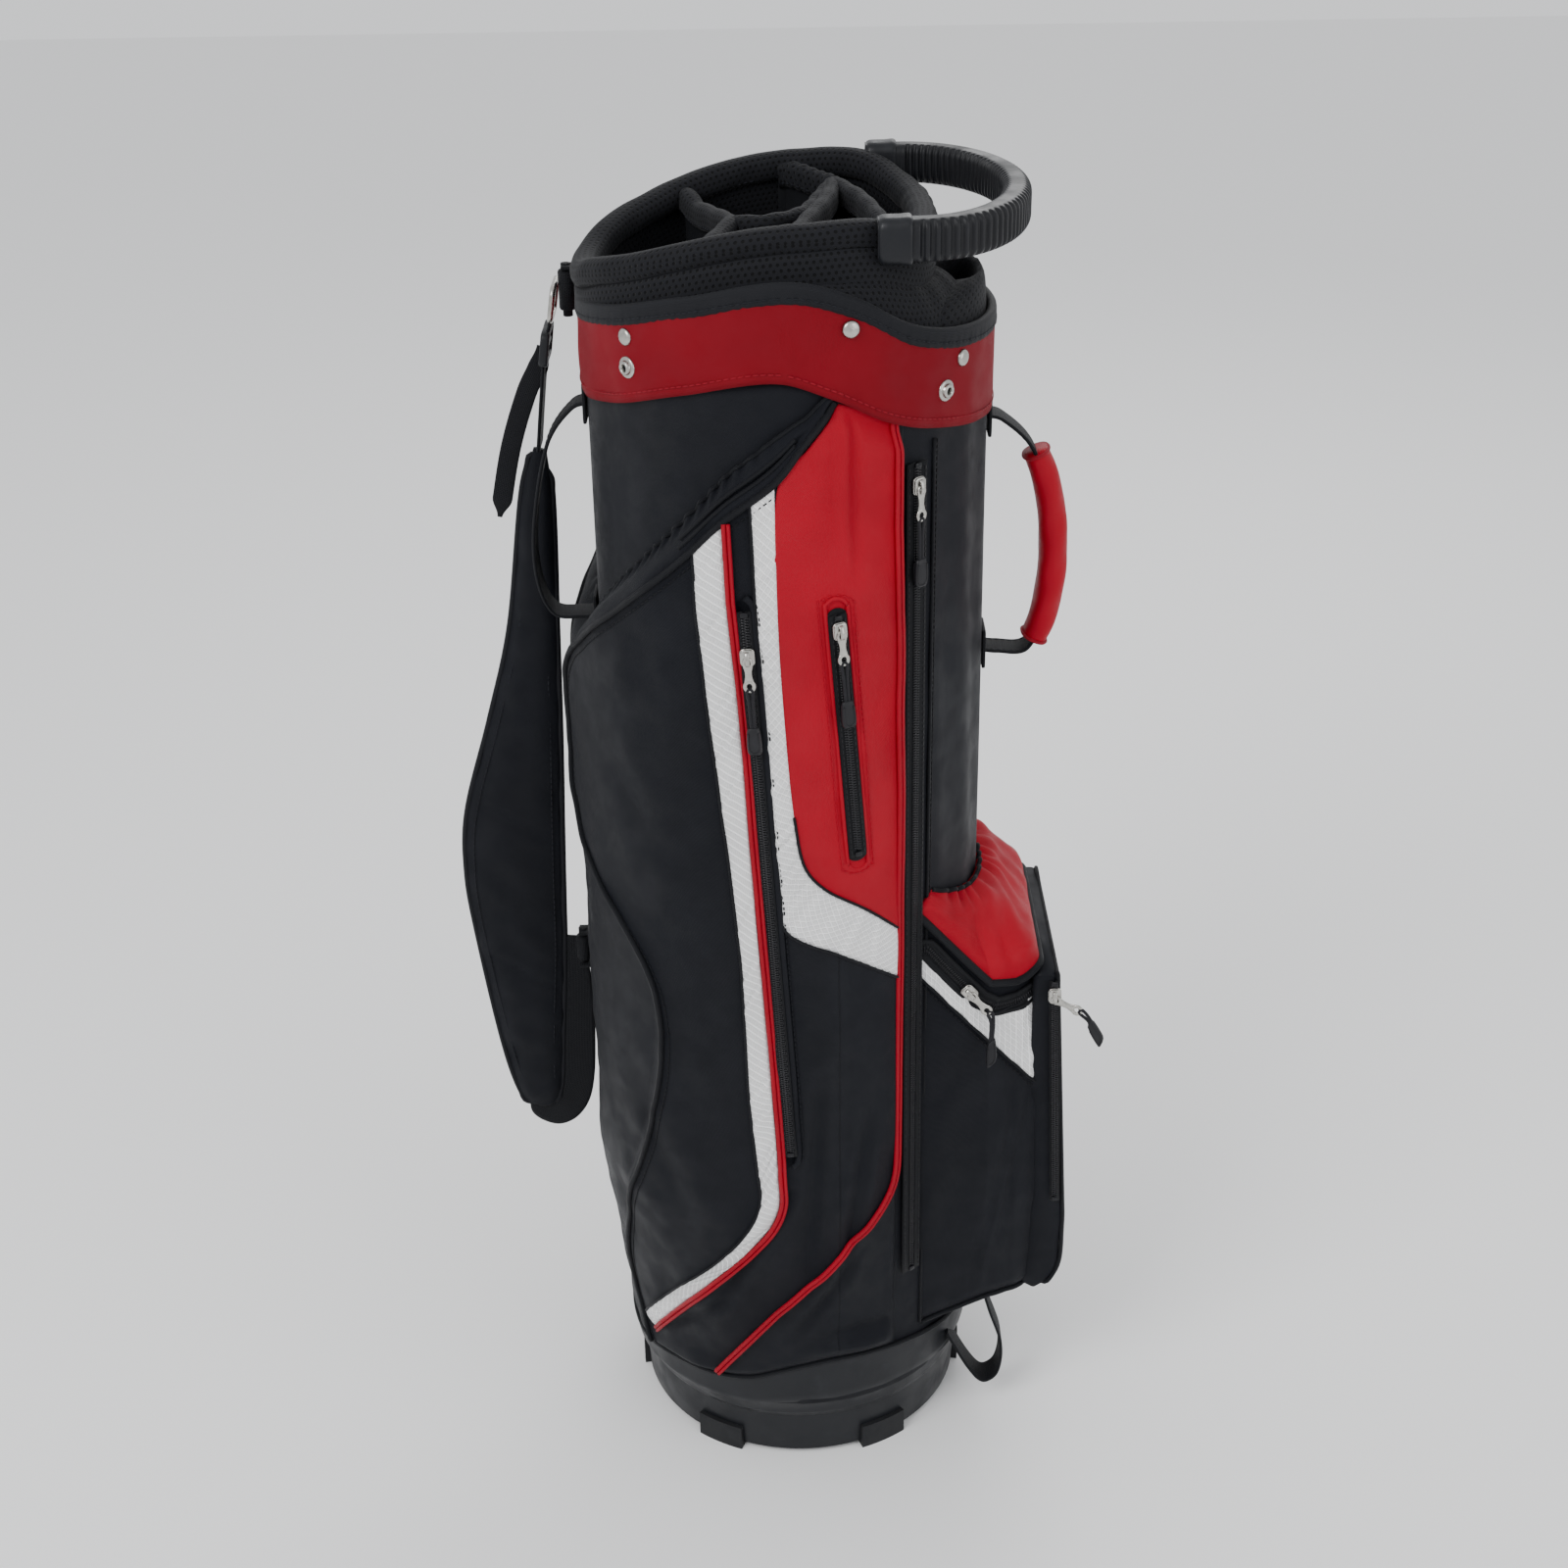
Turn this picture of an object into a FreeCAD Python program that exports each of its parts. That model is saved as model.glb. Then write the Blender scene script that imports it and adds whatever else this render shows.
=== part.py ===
"""A free-standing golf cart bag, without clubs, as separate pieces. Millimetres, +Z up.

The origin is the centre of the underside of the base. +X is the front, where the ball pocket is, and -X the
back, where the shoulder strap hangs. The right-hand side is -Y and the left-hand side is its mirror image.
Angles round the bag are in degrees from -Y towards +X, so 90 is the front and -90 the back.
"""
import FreeCAD, Part
import math
import os
from FreeCAD import Vector

OUT = "parts"
FIT = 0.3  # clearance between pieces that move past each other

# Bag body
shell_radius = 120.5  # outside of the fabric tube
shell_wall = 2.0
shell_bottom = 52.0
shell_top = 786.0

# Base
base_foot_radius = shell_radius - 7.5
base_top_radius = shell_radius - 4.0
base_height = 72.0
base_wall = 3.5
base_floor = 4.0
base_chamfer = 4.0
base_lip_height = 12.0
foot_thickness = 4.0
foot_height = 19.0
foot_half_angle = 8.5
foot_first_angle = 30.0
foot_count = 6

# Support rods, which hold the collar up from the base
rod_radius = 4.5
rod_angles = (-120.0, -60.0, 45.0, 135.0)
rod_wall_gap = 1.0

# Cuff: knots are (angle round the bag, height above the top of the shell), the same on both sides
cuff_thickness = 2.5
cuff_gap = 0.4
cuff_bottom_knots = ((-90, -36), (-56, -28), (-28, -12), (-2, -2), (12, -12), (28, -29.5), (50, -42),
                     (90, -51))
cuff_top_knots = ((-90, 10), (-56, 19), (-28, 33), (2, 44), (18, 34), (34, 15), (50, 6), (90, 1))
binding_height = 9.5
binding_thickness = 3.6
rivet_radius = 4.4
rivet_height = 1.8
rivet_drop = 4.0  # below the top edge of the cuff
rivet_angles = (-47.0, 16.5, 54.0)
stud_radius = 4.0
stud_height = 3.4
stud_washer_radius = 6.2
stud_washer_height = 1.0
stud_angles = (-46.5, 46.5)
stud_drop = 26.0

# Throat: the collar is an oval that leans in and rises towards the front. The rim's knots are
# (x, height above the top of the shell)
collar_bottom = shell_top - 21.0
collar_wall = 4.0
collar_back = shell_radius - 5.5
collar_side = shell_radius - 5.5
collar_front = shell_radius - 48.5
collar_top_back = shell_radius - 4.7
rim_back = shell_radius - 3.0
rim_side = shell_radius - 25.0
rim_front = shell_radius - 40.5
rim_half_width = 9.0
rim_height = 17.0
rim_knots = ((-121, 40), (-108, 49), (-85, 58), (-55, 68), (-20, 76), (10, 79), (50, 79), (82, 67))

# Dividers, as (x, y) points in plan
divider_thickness = 12.0
divider_depth = 16.0
divider_drop = 12.0  # top of a divider below the top of the rim
panel_thickness = 1.6
panel_bottom = 90.0
divider_back = ((-66, 92), (-31, -2), (-56, -88))
divider_link = ((-31, -2), (-8, -10), (10, 6), (30, 66))
divider_left = ((30, 66), (-4, 95))
divider_right = ((30, 66), (24, 20), (12, -28), (-6, -100))
divider_front = ((30, 66), (47, 21), (60, -50), (64, -90))
divider_reach = 60.0  # a bar that ends at the collar is drawn on by this, and the collar trims it
divider_join = 5.0  # a bar stops this far short of the middle of the one that it meets
panel_join = 7.0
link_panel_join = 13.0  # where two panels meet at a narrow angle

# Putter well
well_centre = shell_radius - 21.5
well_length = 48.0
well_width = 30.0
well_wall = 2.0
well_bottom = 300.0
well_pad_bottom = shell_top - 18.0
well_pad_top = shell_top + 29.0
well_pad_start = rim_front + 1.0

# Top handle
handle_centre_x = collar_front
handle_height = shell_top + 70.0
handle_reach = 62.0
handle_half_width = rim_side + 0.5
handle_thick = 15.0
handle_tall = 23.0
socket_length = 30.0
socket_wall = 2.5

# Side pockets: the skin is a stack of circles (height, centre x, centre y, radius), and the slanting top edge
# is (x, height above the top of the shell)
pocket_skin = ((88, -3, -1.5, shell_radius + 2.5), (220, -13, -6, shell_radius + 8.0),
               (shell_top - 126, -13, -6, shell_radius + 8.0), (shell_top - 10, -3, -2, shell_radius + 3.1))
pocket_wall = 2.5
slope_end = 28.0  # the slanting edge ends at this x, where it meets the cuff
slope_drop = 1.3  # how much lower the inside of the slanting edge is, for a wall of 1
pocket_back_angle = -84.0
pocket_front_angle = 30.5
pocket_slope = ((-150, -226), (-112, -178), (28, -10), (60, 14))

# Ball pocket, as profiles that run the full width: (distance out from the shell, height)
ball_half_width = 88.0
ball_front_half_width = 76.0
ball_back = shell_radius - 38.5
ball_front = shell_radius + 43.5
ball_bottom_profile = ((-40.5, 86), (12.5, 107), (45.5, 113))
ball_parting = ((-40.5, 424), (5.5, 368), (24.5, 364), (54.5, 376))
ball_lid_profile = ((2.5, 441), (14.5, 434), (28.5, 416), (37.5, 396), (40.5, 376))
ball_wall = 2.5
lid_wall = 2.0
slip_depth_top = 8.0
slip_depth_bottom = 19.0
slip_top = 369.0
slip_bottom = 124.0
slip_half_width = 72.0

# Zips
tape_width = 16.0
narrow_tape_width = 7.0
tape_thickness = 1.6
chain_width = 5.0
chain_height = 1.2
slider_length = 11.0
slider_width = 8.6
slider_height = 3.2
slider_gap = 0.3
bridge_height = 4.2
bridge_width = 2.6
bridge_wall = 1.4
tab_length = 21.0
tab_width = 7.6
tab_thickness = 1.5
tab_hole = 2.2
tab_window = 7.6
cord_length = 27.0
cord_width = 4.2
cord_thickness = 2.6
toggle_length = 17.0
toggle_width = 9.0
toggle_thickness = 4.4
toggle_round = 1.6
pull_pin_radius = 0.9

# Webbing handles, in the X-Z plane through the middle of the bag: (distance out from the shell, height above
# its top)
webbing_width = 20.0
webbing_thickness = 2.0
hinge_radius = 12.0
grip_axis_x = shell_radius + 3.3
grip_path = ((-3.5, -59), (9.5, -62), (29.5, -83), (42.5, -131), (41.5, -176), (29.5, -212), (-3.5, -212))
grip_sleeve_radius = 8.0
grip_sleeve_span = (-88.0, -200.0)
back_axis_x = -shell_radius - 3.3
back_path = ((-3.5, -47), (9.5, -51), (25.5, -74), (36.5, -162), (27.5, -184), (-3.5, -185))
back_hinge_radius = 11.0

# Shoulder strap, whose flat faces point to the sides of the bag. It turns on two upright bars. Its places are
# (distance out from the back of the shell, height above the top of the shell)
strap_y = 24.0
strap_pad_thickness = 13.0
strap_web_thickness = 2.4
bar_radius = 3.0
bar_half_height = 9.0
top_bar = (11.0, 13.0)
foot_bar = (26.0, -448.0)
ring_wire = 1.75
ring_width = 30.0
ring_ends = ((18.0, 17.0), (21.0, -3.0))
upper_web_path = ((21.5, -3), (25.5, -21), (29.5, -51), (33.5, -85))
upper_web_width = 24.0
adjuster_span = (-11.0, -29.0)
adjuster_width = 32.0
adjuster_thickness = 5.0
tail_path = ((31, -34), (39.5, -51), (51.5, -86), (61.5, -131))
tail_width = 15.0
pad_outline = ((37.5, -86), (46.5, -114), (60.5, -206), (78.5, -273), (98.5, -341), (102.5, -386),
               (99.5, -431), (86.5, -531), (75.5, -574), (55.5, -580), (47.5, -561), (39.5, -456),
               (32.5, -286), (27.5, -121), (29.5, -88))
lower_web_outline = ((69.5, -561), (70.5, -586), (53.5, -597), (37.5, -590), (26.5, -569), (22, -526),
                     (22, -476), (26.5, -440), (37.5, -439), (41.5, -486), (45.5, -551), (55.5, -564))

# Lifting loop at the base: (distance out from the shell, height)
loop_y = -56.0
loop_path = ((-16.5, 66), (-0.5, 34), (10.5, 21), (20.5, 29), (22.5, 55), (13.5, 86), (6.5, 112))


def in_front(points, level=0.0):
    """(distance out from the shell, height above a level) as (x, z) in front of the bag."""
    return [(shell_radius + out, level + z) for out, z in points]


def behind_top(points):
    """(distance out from the shell, height above its top) as (x, z) behind the bag."""
    return [(-shell_radius - out, shell_top + z) for out, z in points]


def at(angle, radius, z):
    """The point at an angle round the bag."""
    a = math.radians(angle)
    return Vector(radius * math.sin(a), -radius * math.cos(a), z)


def eased(knots, u):
    """A smooth curve through (u, value) knots, flat at none of them: a cubic with each knot's average slope."""
    points = list(knots)
    if u <= points[0][0]:
        return points[0][1]
    if u >= points[-1][0]:
        return points[-1][1]
    slopes = [(b[1] - a[1]) / (b[0] - a[0]) for a, b in zip(points, points[1:])]
    tangents = [0.0] + [(a + b) / 2 for a, b in zip(slopes, slopes[1:])] + [0.0]
    i = max(k for k in range(len(points) - 1) if points[k][0] <= u)
    span = points[i + 1][0] - points[i][0]
    t = (u - points[i][0]) / span
    h = (2 * t**3 - 3 * t**2 + 1, t**3 - 2 * t**2 + t, 3 * t**2 - 2 * t**3, t**3 - t**2)
    ends = (points[i][1], tangents[i] * span, points[i + 1][1], tangents[i + 1] * span)
    return sum(a * b for a, b in zip(h, ends))


def folded(angle):
    """The angle on the right-hand side that mirrors one on the left."""
    a = (angle + 180) % 360 - 180
    if a > 90:
        return 180 - a
    if a < -90:
        return -180 - a
    return a


def closed_curve(points):
    """A smooth closed curve, with its points evenly spaced in its parameter."""
    curve = Part.BSplineCurve()
    count = len(points)
    curve.interpolate(Points=points, PeriodicFlag=True, Parameters=[k / count for k in range(count + 1)])
    return curve.toShape()


def ring_solid(inner_low, outer_low, inner_high, outer_high):
    """A closed band between four closed curves."""
    pairs = ((inner_low, outer_low), (outer_low, outer_high), (outer_high, inner_high), (inner_high, inner_low))
    faces = [Part.makeRuledSurface(a, b) for a, b in pairs]
    solid = Part.Solid(Part.Shell(faces))
    if solid.Volume < 0:
        solid.reverse()
    return solid


def round_band(inner_radius, outer_radius, low, high, steps=72):
    """A band round the bag whose edges are at low(angle) and high(angle)."""
    angles = [-180 + 360 * k / steps for k in range(steps)]
    curves = []
    for radius, edge in ((inner_radius, low), (outer_radius, low), (inner_radius, high), (outer_radius, high)):
        curves.append(closed_curve([at(a, radius, edge(a)) for a in angles]))
    return ring_solid(*curves)


def prism(points, y_low, y_high):
    """An (x, z) outline, as wide as from y_low to y_high."""
    corners = [Vector(x, y_low, z) for x, z in points]
    return Part.Face(Part.makePolygon(corners + corners[:1])).extrude(Vector(0, y_high - y_low, 0))


def tube(outer, inner, low, high):
    return Part.makeCylinder(outer, high - low, Vector(0, 0, low)).cut(
        Part.makeCylinder(inner, high - low, Vector(0, 0, low)))


def wedge(radius, low, high, start, end):
    """A slice of cylinder between two angles round the bag."""
    slice_ = Part.makeCylinder(radius, high - low, Vector(0, 0, low), Vector(0, 0, 1), end - start)
    slice_.rotate(Vector(), Vector(0, 0, 1), start - 90)
    return slice_


def mirrored(shape):
    return shape.mirror(Vector(), Vector(0, 1, 0))


def both_sides(shapes):
    return Part.makeCompound(list(shapes) + [mirrored(s) for s in shapes])


def strip(path, width, thickness, y):
    """Webbing along an (x, z) path, as wide as width across Y, with its corners rounded off."""
    half = thickness / 2
    edges = rounded_path(path, y - width / 2)
    wire = Part.Wire(edges)
    start = edges[0].valueAt(edges[0].FirstParameter)
    along = edges[0].tangentAt(edges[0].FirstParameter)
    side = Vector(-along.z, 0, along.x)
    across = Vector(0, width, 0)
    corners = [start + side * half, start - side * half, start - side * half + across, start + side * half + across]
    profile = Part.makePolygon(corners + corners[:1])
    return wire.makePipeShell([profile], True, False)


def rounded_path(path, y):
    """Straight runs joined by tangent arcs, as large as the shorter run allows."""
    points = [Vector(x, y, z) for x, z in path]
    edges, last = [], points[0]
    for before, corner, after in zip(points, points[1:], points[2:]):
        to_before, to_after = (before - corner), (after - corner)
        cut = 0.45 * min(to_before.Length, to_after.Length)
        to_before.normalize()
        to_after.normalize()
        start, end = corner + to_before * cut, corner + to_after * cut
        bisector = to_before + to_after
        bisector.normalize()
        half_turn = (math.pi - to_before.getAngle(to_after)) / 2
        radius = cut / math.tan(half_turn)
        middle = corner + bisector * (radius / math.cos(half_turn) - radius)
        edges.append(Part.LineSegment(last, start).toShape())
        edges.append(Part.Arc(start, middle, end).toShape())
        last = end
    edges.append(Part.LineSegment(last, points[-1]).toShape())
    return edges


def save(name, shape):
    """Writes one piece, as separate closed solids."""
    solids = shape.Solids
    for solid in solids:
        if not solid.isValid() or solid.Volume <= 0:
            print("CHECK", name, "valid", solid.isValid(), "volume", solid.Volume)
    Part.makeCompound(solids).exportStep(os.path.join(OUT, name + ".step"))


# ---- Base -------------------------------------------------------------------------------------------------


def base_outline():
    """The solid of revolution inside the outer face of the base."""
    corners = [(0, 0), (base_foot_radius - base_chamfer, 0), (base_foot_radius, base_chamfer),
               (base_top_radius, base_height - base_lip_height),
               (shell_radius - shell_wall - FIT, base_height - base_lip_height),
               (shell_radius - shell_wall - FIT, base_height), (0, base_height)]
    points = [Vector(r, 0, z) for r, z in corners]
    return Part.Face(Part.makePolygon(points + points[:1])).revolve(Vector(), Vector(0, 0, 1), 360)


def base_cup():
    inner = Part.makeCone(base_foot_radius - base_wall, base_top_radius - base_wall, base_height - base_floor,
                          Vector(0, 0, base_floor))
    return base_outline().cut(inner)


def base_feet():
    ring = tube(base_foot_radius + foot_thickness, base_foot_radius - base_chamfer, 0, foot_height)
    ring = ring.cut(base_outline())
    step = 360.0 / foot_count
    pads = []
    for k in range(foot_count):
        middle = foot_first_angle + k * step
        reach = base_foot_radius + 2 * foot_thickness
        pads.append(ring.common(wedge(reach, -1, foot_height + 1, middle - foot_half_angle, middle + foot_half_angle)))
    return Part.makeCompound(pads)


# ---- Tube, rods and cuff ----------------------------------------------------------------------------------


def bag_shell():
    return tube(shell_radius, shell_radius - shell_wall, shell_bottom, shell_top)


def rod_places():
    radius = shell_radius - shell_wall - rod_wall_gap - rod_radius
    base_inside = base_foot_radius - base_wall - FIT - rod_radius
    return [(angle, min(radius, base_inside)) for angle in rod_angles]


def support_rods():
    rods = []
    for angle, radius in rod_places():
        rods.append(Part.makeCylinder(rod_radius, collar_bottom - base_floor, at(angle, radius, base_floor)))
    return Part.makeCompound(rods)


def cuff_low(angle):
    return shell_top + eased(cuff_bottom_knots, folded(angle))


def cuff_high(angle):
    return shell_top + eased(cuff_top_knots, folded(angle))


def cuff_band():
    inner = shell_radius + cuff_gap
    return round_band(inner, inner + cuff_thickness, cuff_low, cuff_high)


def cuff_binding():
    middle = shell_radius + cuff_gap + cuff_thickness / 2
    low = lambda a: cuff_high(a)
    high = lambda a: cuff_high(a) + binding_height
    return round_band(middle - binding_thickness, middle + binding_thickness / 2, low, high)


def cuff_outside():
    return shell_radius + cuff_gap + cuff_thickness


def button(angle, z, radius, height, start):
    """A round piece that stands out of the cuff."""
    out = at(angle, 1, 0)
    return Part.makeCylinder(radius, height, at(angle, start, z), out)


def cuff_rivets():
    heads = []
    seat = cuff_outside()
    for angle in rivet_angles:
        z = cuff_high(angle) - rivet_drop - rivet_radius
        head = button(angle, z, rivet_radius, rivet_height + 1, seat - 1)
        heads.append(head.cut(Part.makeCylinder(seat, 2 * rivet_radius + 2, Vector(0, 0, z - rivet_radius - 1))))
    return both_sides(heads)


def stud_height_at(angle):
    return cuff_high(angle) - stud_drop


def hood_studs():
    studs = []
    seat = cuff_outside()
    for angle in stud_angles:
        z = stud_height_at(angle)
        washer = button(angle, z, stud_washer_radius, stud_washer_height + 1, seat - 1)
        post = button(angle, z, stud_radius, stud_washer_height + stud_height + 1, seat - 1)
        core = Part.makeCylinder(seat, 4 * stud_washer_radius, Vector(0, 0, z - 2 * stud_washer_radius))
        studs.append(washer.fuse(post).cut(core))
    return both_sides(studs)


# ---- Throat -----------------------------------------------------------------------------------------------


def oval(angle, back, side, front, power_back, power_front=3.0):
    """A point of an oval that is rounder at the back, where a power of 2 is an ellipse, and squarer at the front."""
    a = math.radians(angle)
    s, c = math.sin(a), -math.cos(a)
    reach, power = (front, power_front) if s > 0 else (back, power_back)
    scale = (abs(s / reach) ** power + abs(c / side) ** power) ** (-1.0 / power)
    return scale * s, scale * c


def rim_top(x):
    return shell_top + eased(rim_knots, x)


def oval_curve(grow, back, side, front, height, power_back=2.15, steps=96):
    points = []
    for k in range(steps):
        x, y = oval(-180 + 360.0 * k / steps, back + grow, side + grow, front + grow, power_back)
        points.append(Vector(x, y, height(x)))
    return closed_curve(points)


def rim_bottom(x):
    return rim_top(x) - rim_height


def throat_collar():
    half = collar_wall / 2
    low = lambda grow: oval_curve(grow, collar_back, collar_side, collar_front, lambda x: collar_bottom, 2.0)
    high = lambda grow: oval_curve(grow, collar_top_back, rim_side, rim_front, lambda x: rim_bottom(x) + half)
    return ring_solid(low(-half), low(half), high(-half), high(half)).cut(throat_rim())


def throat_rim():
    low = lambda grow: oval_curve(grow, rim_back, rim_side, rim_front, rim_bottom)
    high = lambda grow: oval_curve(grow, rim_back, rim_side, rim_front, rim_top)
    return ring_solid(low(-rim_half_width), low(rim_half_width), high(-rim_half_width), high(rim_half_width))


def throat_room():
    """The upright opening inside the rim, which the dividers cross from wall to wall."""
    low = shell_bottom
    edge = oval_curve(-rim_half_width - FIT / 2, rim_back, rim_side, rim_front, lambda x: low)
    return Part.Face(Part.Wire(edge)).extrude(Vector(0, 0, rim_top(0) - low))


def largest(shape):
    return max(shape.Solids, key=lambda s: s.Volume)


def wall_between(start, end, thickness, low, high, trim_start=0.0, trim_end=0.0):
    """An upright panel from one (x, y) point to another."""
    a, b = Vector(start[0], start[1], low), Vector(end[0], end[1], low)
    along = b - a
    along.normalize()
    a, b = a + along * trim_start, b - along * trim_end
    side = Vector(-along.y, along.x, 0) * (thickness / 2)
    corners = [a + side, a - side, b - side, b + side]
    return Part.Face(Part.makePolygon(corners + corners[:1])).extrude(Vector(0, 0, high - low))


def beyond(start, end, reach):
    """A point further along the line from start to end, past end by the reach."""
    share = 1 + reach / math.hypot(end[0] - start[0], end[1] - start[1])
    return start[0] + (end[0] - start[0]) * share, start[1] + (end[1] - start[1]) * share


def divider_runs(join, link_join, reach):
    """Each straight run of the dividers, with how much its ends are trimmed where it meets another, and its top."""
    runs = []
    for path in (divider_back, divider_link, divider_left, divider_right, divider_front):
        for k, (start, end) in enumerate(zip(path, path[1:])):
            top = rim_top((start[0] + end[0]) / 2) - divider_drop
            trim_start, trim_end = join, join
            if path is divider_back and k == 0:
                start, trim_start = beyond(end, start, reach), 0.0
            if k == len(path) - 2 and path is divider_link:
                trim_end = link_join
            elif k == len(path) - 2:
                end, trim_end = beyond(start, end, reach), 0.0
            runs.append((start, end, trim_start, trim_end, top))
    return runs


def divider_bars():
    room = throat_room()
    joined = None
    for start, end, trim_start, trim_end, top in divider_runs(divider_join, divider_join, divider_reach):
        bar = wall_between(start, end, divider_thickness, top - divider_depth, top, trim_start, trim_end)
        bar = largest(bar.common(room))
        joined = bar if joined is None else joined.fuse(bar)
    for x, y in divider_back[1:2] + divider_link[1:] + divider_right[1:-1] + divider_front[1:-1]:
        top = rim_top(x) - divider_drop
        joined = joined.fuse(Part.makeCylinder(divider_thickness / 2, divider_depth, Vector(x, y, top - divider_depth)))
    return joined.removeSplitter()


def divider_panels(bars):
    """Fabric walls under the bars, down to the base, that keep the shafts apart."""
    low_room = Part.makeCylinder(shell_radius - shell_wall, shell_top, Vector(0, 0, 0))
    front = Part.makeBox(400, 400, 2000, Vector(collar_front - collar_wall / 2 - FIT, -200, 0))
    high_room = throat_room().cut(front)
    keep_out = [Part.makeCylinder(rod_radius + FIT, shell_top, at(a, r, 0)) for a, r in rod_places()]
    panels = []
    for start, end, trim_start, trim_end, top in divider_runs(panel_join, link_panel_join, 0.0):
        shared = dict(thickness=panel_thickness, trim_start=trim_start, trim_end=trim_end)
        low = wall_between(start, end, low=panel_bottom, high=collar_bottom, **shared).common(low_room)
        high = wall_between(start, end, low=collar_bottom, high=top - divider_depth, **shared).common(high_room)
        panel = low.fuse(high).removeSplitter().cut(bars)
        for rod in keep_out:
            panel = panel.cut(rod)
        panels.append(largest(panel))
    return Part.makeCompound(panels)


def oblong(length, width, low, high):
    """An upright slot-shaped prism round the putter well, long across the bag."""
    radius = width / 2
    straight = (length - width) / 2
    block = Part.makeBox(width, 2 * straight, high - low, Vector(well_centre - radius, -straight, low))
    for y in (-straight, straight):
        block = block.fuse(Part.makeCylinder(radius, high - low, Vector(well_centre, y, low)))
    return block.removeSplitter()


def putter_tube():
    outside = oblong(well_length + 2 * well_wall, well_width + 2 * well_wall, well_bottom, well_pad_bottom)
    inside = oblong(well_length, well_width, well_bottom + well_wall, well_pad_bottom)
    return outside.cut(inside)


def putter_pad():
    disc = Part.makeCylinder(shell_radius - shell_wall - FIT, well_pad_top - well_pad_bottom,
                             Vector(0, 0, well_pad_bottom))
    front = Part.makeBox(200, 400, 200, Vector(well_pad_start, -200, well_pad_bottom - 50))
    return disc.common(front).cut(oblong(well_length, well_width, well_pad_bottom - 1, well_pad_top + 1))


# ---- Top handle -------------------------------------------------------------------------------------------


def handle_outline(reach, half_width):
    """The U-shaped outline of the handle loop, seen from above."""
    start = Vector(handle_centre_x - socket_length, -half_width, 0)
    low, high = Vector(handle_centre_x, -half_width, 0), Vector(handle_centre_x, half_width, 0)
    back = Vector(handle_centre_x - socket_length, half_width, 0)
    major, minor = max(half_width, reach), min(half_width, reach)
    if half_width >= reach:
        ellipse = Part.Ellipse(Vector(handle_centre_x, half_width, 0), Vector(handle_centre_x + reach, 0, 0),
                               Vector(handle_centre_x, 0, 0))
    else:
        ellipse = Part.Ellipse(Vector(handle_centre_x + major, 0, 0), Vector(handle_centre_x, minor, 0),
                               Vector(handle_centre_x, 0, 0))
    first, last = ellipse.parameter(low), ellipse.parameter(high)
    arc = Part.ArcOfEllipse(ellipse, *sorted((first, last))).toShape()
    if arc.BoundBox.XMax < handle_centre_x + reach / 2:
        arc = Part.ArcOfEllipse(ellipse, max(first, last), min(first, last) + 2 * math.pi).toShape()
    lines = [Part.makeLine(start, low), arc, Part.makeLine(high, back), Part.makeLine(back, start)]
    return Part.Face(Part.Wire(Part.__sortEdges__(lines)))


def top_handle():
    half = handle_thick / 2
    outer = handle_outline(handle_reach + half, handle_half_width - half + handle_thick)
    inner = handle_outline(handle_reach - half, handle_half_width - half)
    inner.translate(Vector(-1, 0, 0))
    loop = outer.extrude(Vector(0, 0, handle_tall))
    inner = inner.extrude(Vector(0, 0, handle_tall + 2))
    inner.translate(Vector(0, 0, -1))
    loop = loop.cut(inner)
    loop.translate(Vector(0, 0, handle_height - handle_tall / 2))
    loop = loop.cut(throat_rim_room()).cut(socket_block(0.0))
    return largest(loop)


def throat_rim_room():
    """The room that the rim takes, for the handle to stop at."""
    edge = oval_curve(rim_half_width, rim_back, rim_side, rim_front, lambda x: collar_bottom)
    return Part.Face(Part.Wire(edge)).extrude(Vector(0, 0, 200))


def socket_block(grow):
    """The two clamps that hold the ends of the handle to the rim."""
    low = handle_height - handle_tall / 2 - socket_wall
    blocks = []
    for side in (-1, 1):
        near, far = handle_half_width - handle_thick / 2, handle_half_width + handle_thick / 2 + socket_wall
        inner, outer = sorted((side * near, side * far))
        blocks.append(Part.makeBox(socket_length + 2 * grow, outer - inner, handle_tall + 2 * socket_wall,
                                   Vector(handle_centre_x - socket_length - grow, inner, low)))
    return Part.makeCompound(blocks)


def handle_sockets():
    return Part.makeCompound([b.cut(throat_rim_room()) for b in socket_block(0.0).Solids])


# ---- Side pockets -----------------------------------------------------------------------------------------


def skin_circle(z):
    """Centre and radius of the pocket's skin at a height."""
    knots = pocket_skin
    z = min(max(z, knots[0][0]), knots[-1][0])
    for low, high in zip(knots, knots[1:]):
        if z <= high[0]:
            t = (z - low[0]) / (high[0] - low[0])
            return [a + (b - a) * t for a, b in zip(low[1:], high[1:])]
    return list(knots[-1][1:])


def skin_point(angle, z):
    """Where the skin is at an angle round the bag, and its outward direction there."""
    cx, cy, radius = skin_circle(z)
    u = at(angle, 1, 0)
    along = cx * u.x + cy * u.y
    reach = along + math.sqrt(radius**2 - cx**2 - cy**2 + along**2)
    point = u * reach
    out = Vector(point.x - cx, point.y - cy, 0)
    out.normalize()
    return Vector(point.x, point.y, z), out


def skin_solid(inset):
    wires = []
    for z, cx, cy, radius in pocket_skin:
        wires.append(Part.Wire(Part.makeCircle(radius - inset, Vector(cx, cy, z))))
    return Part.makeLoft(wires, True, True)


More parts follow.
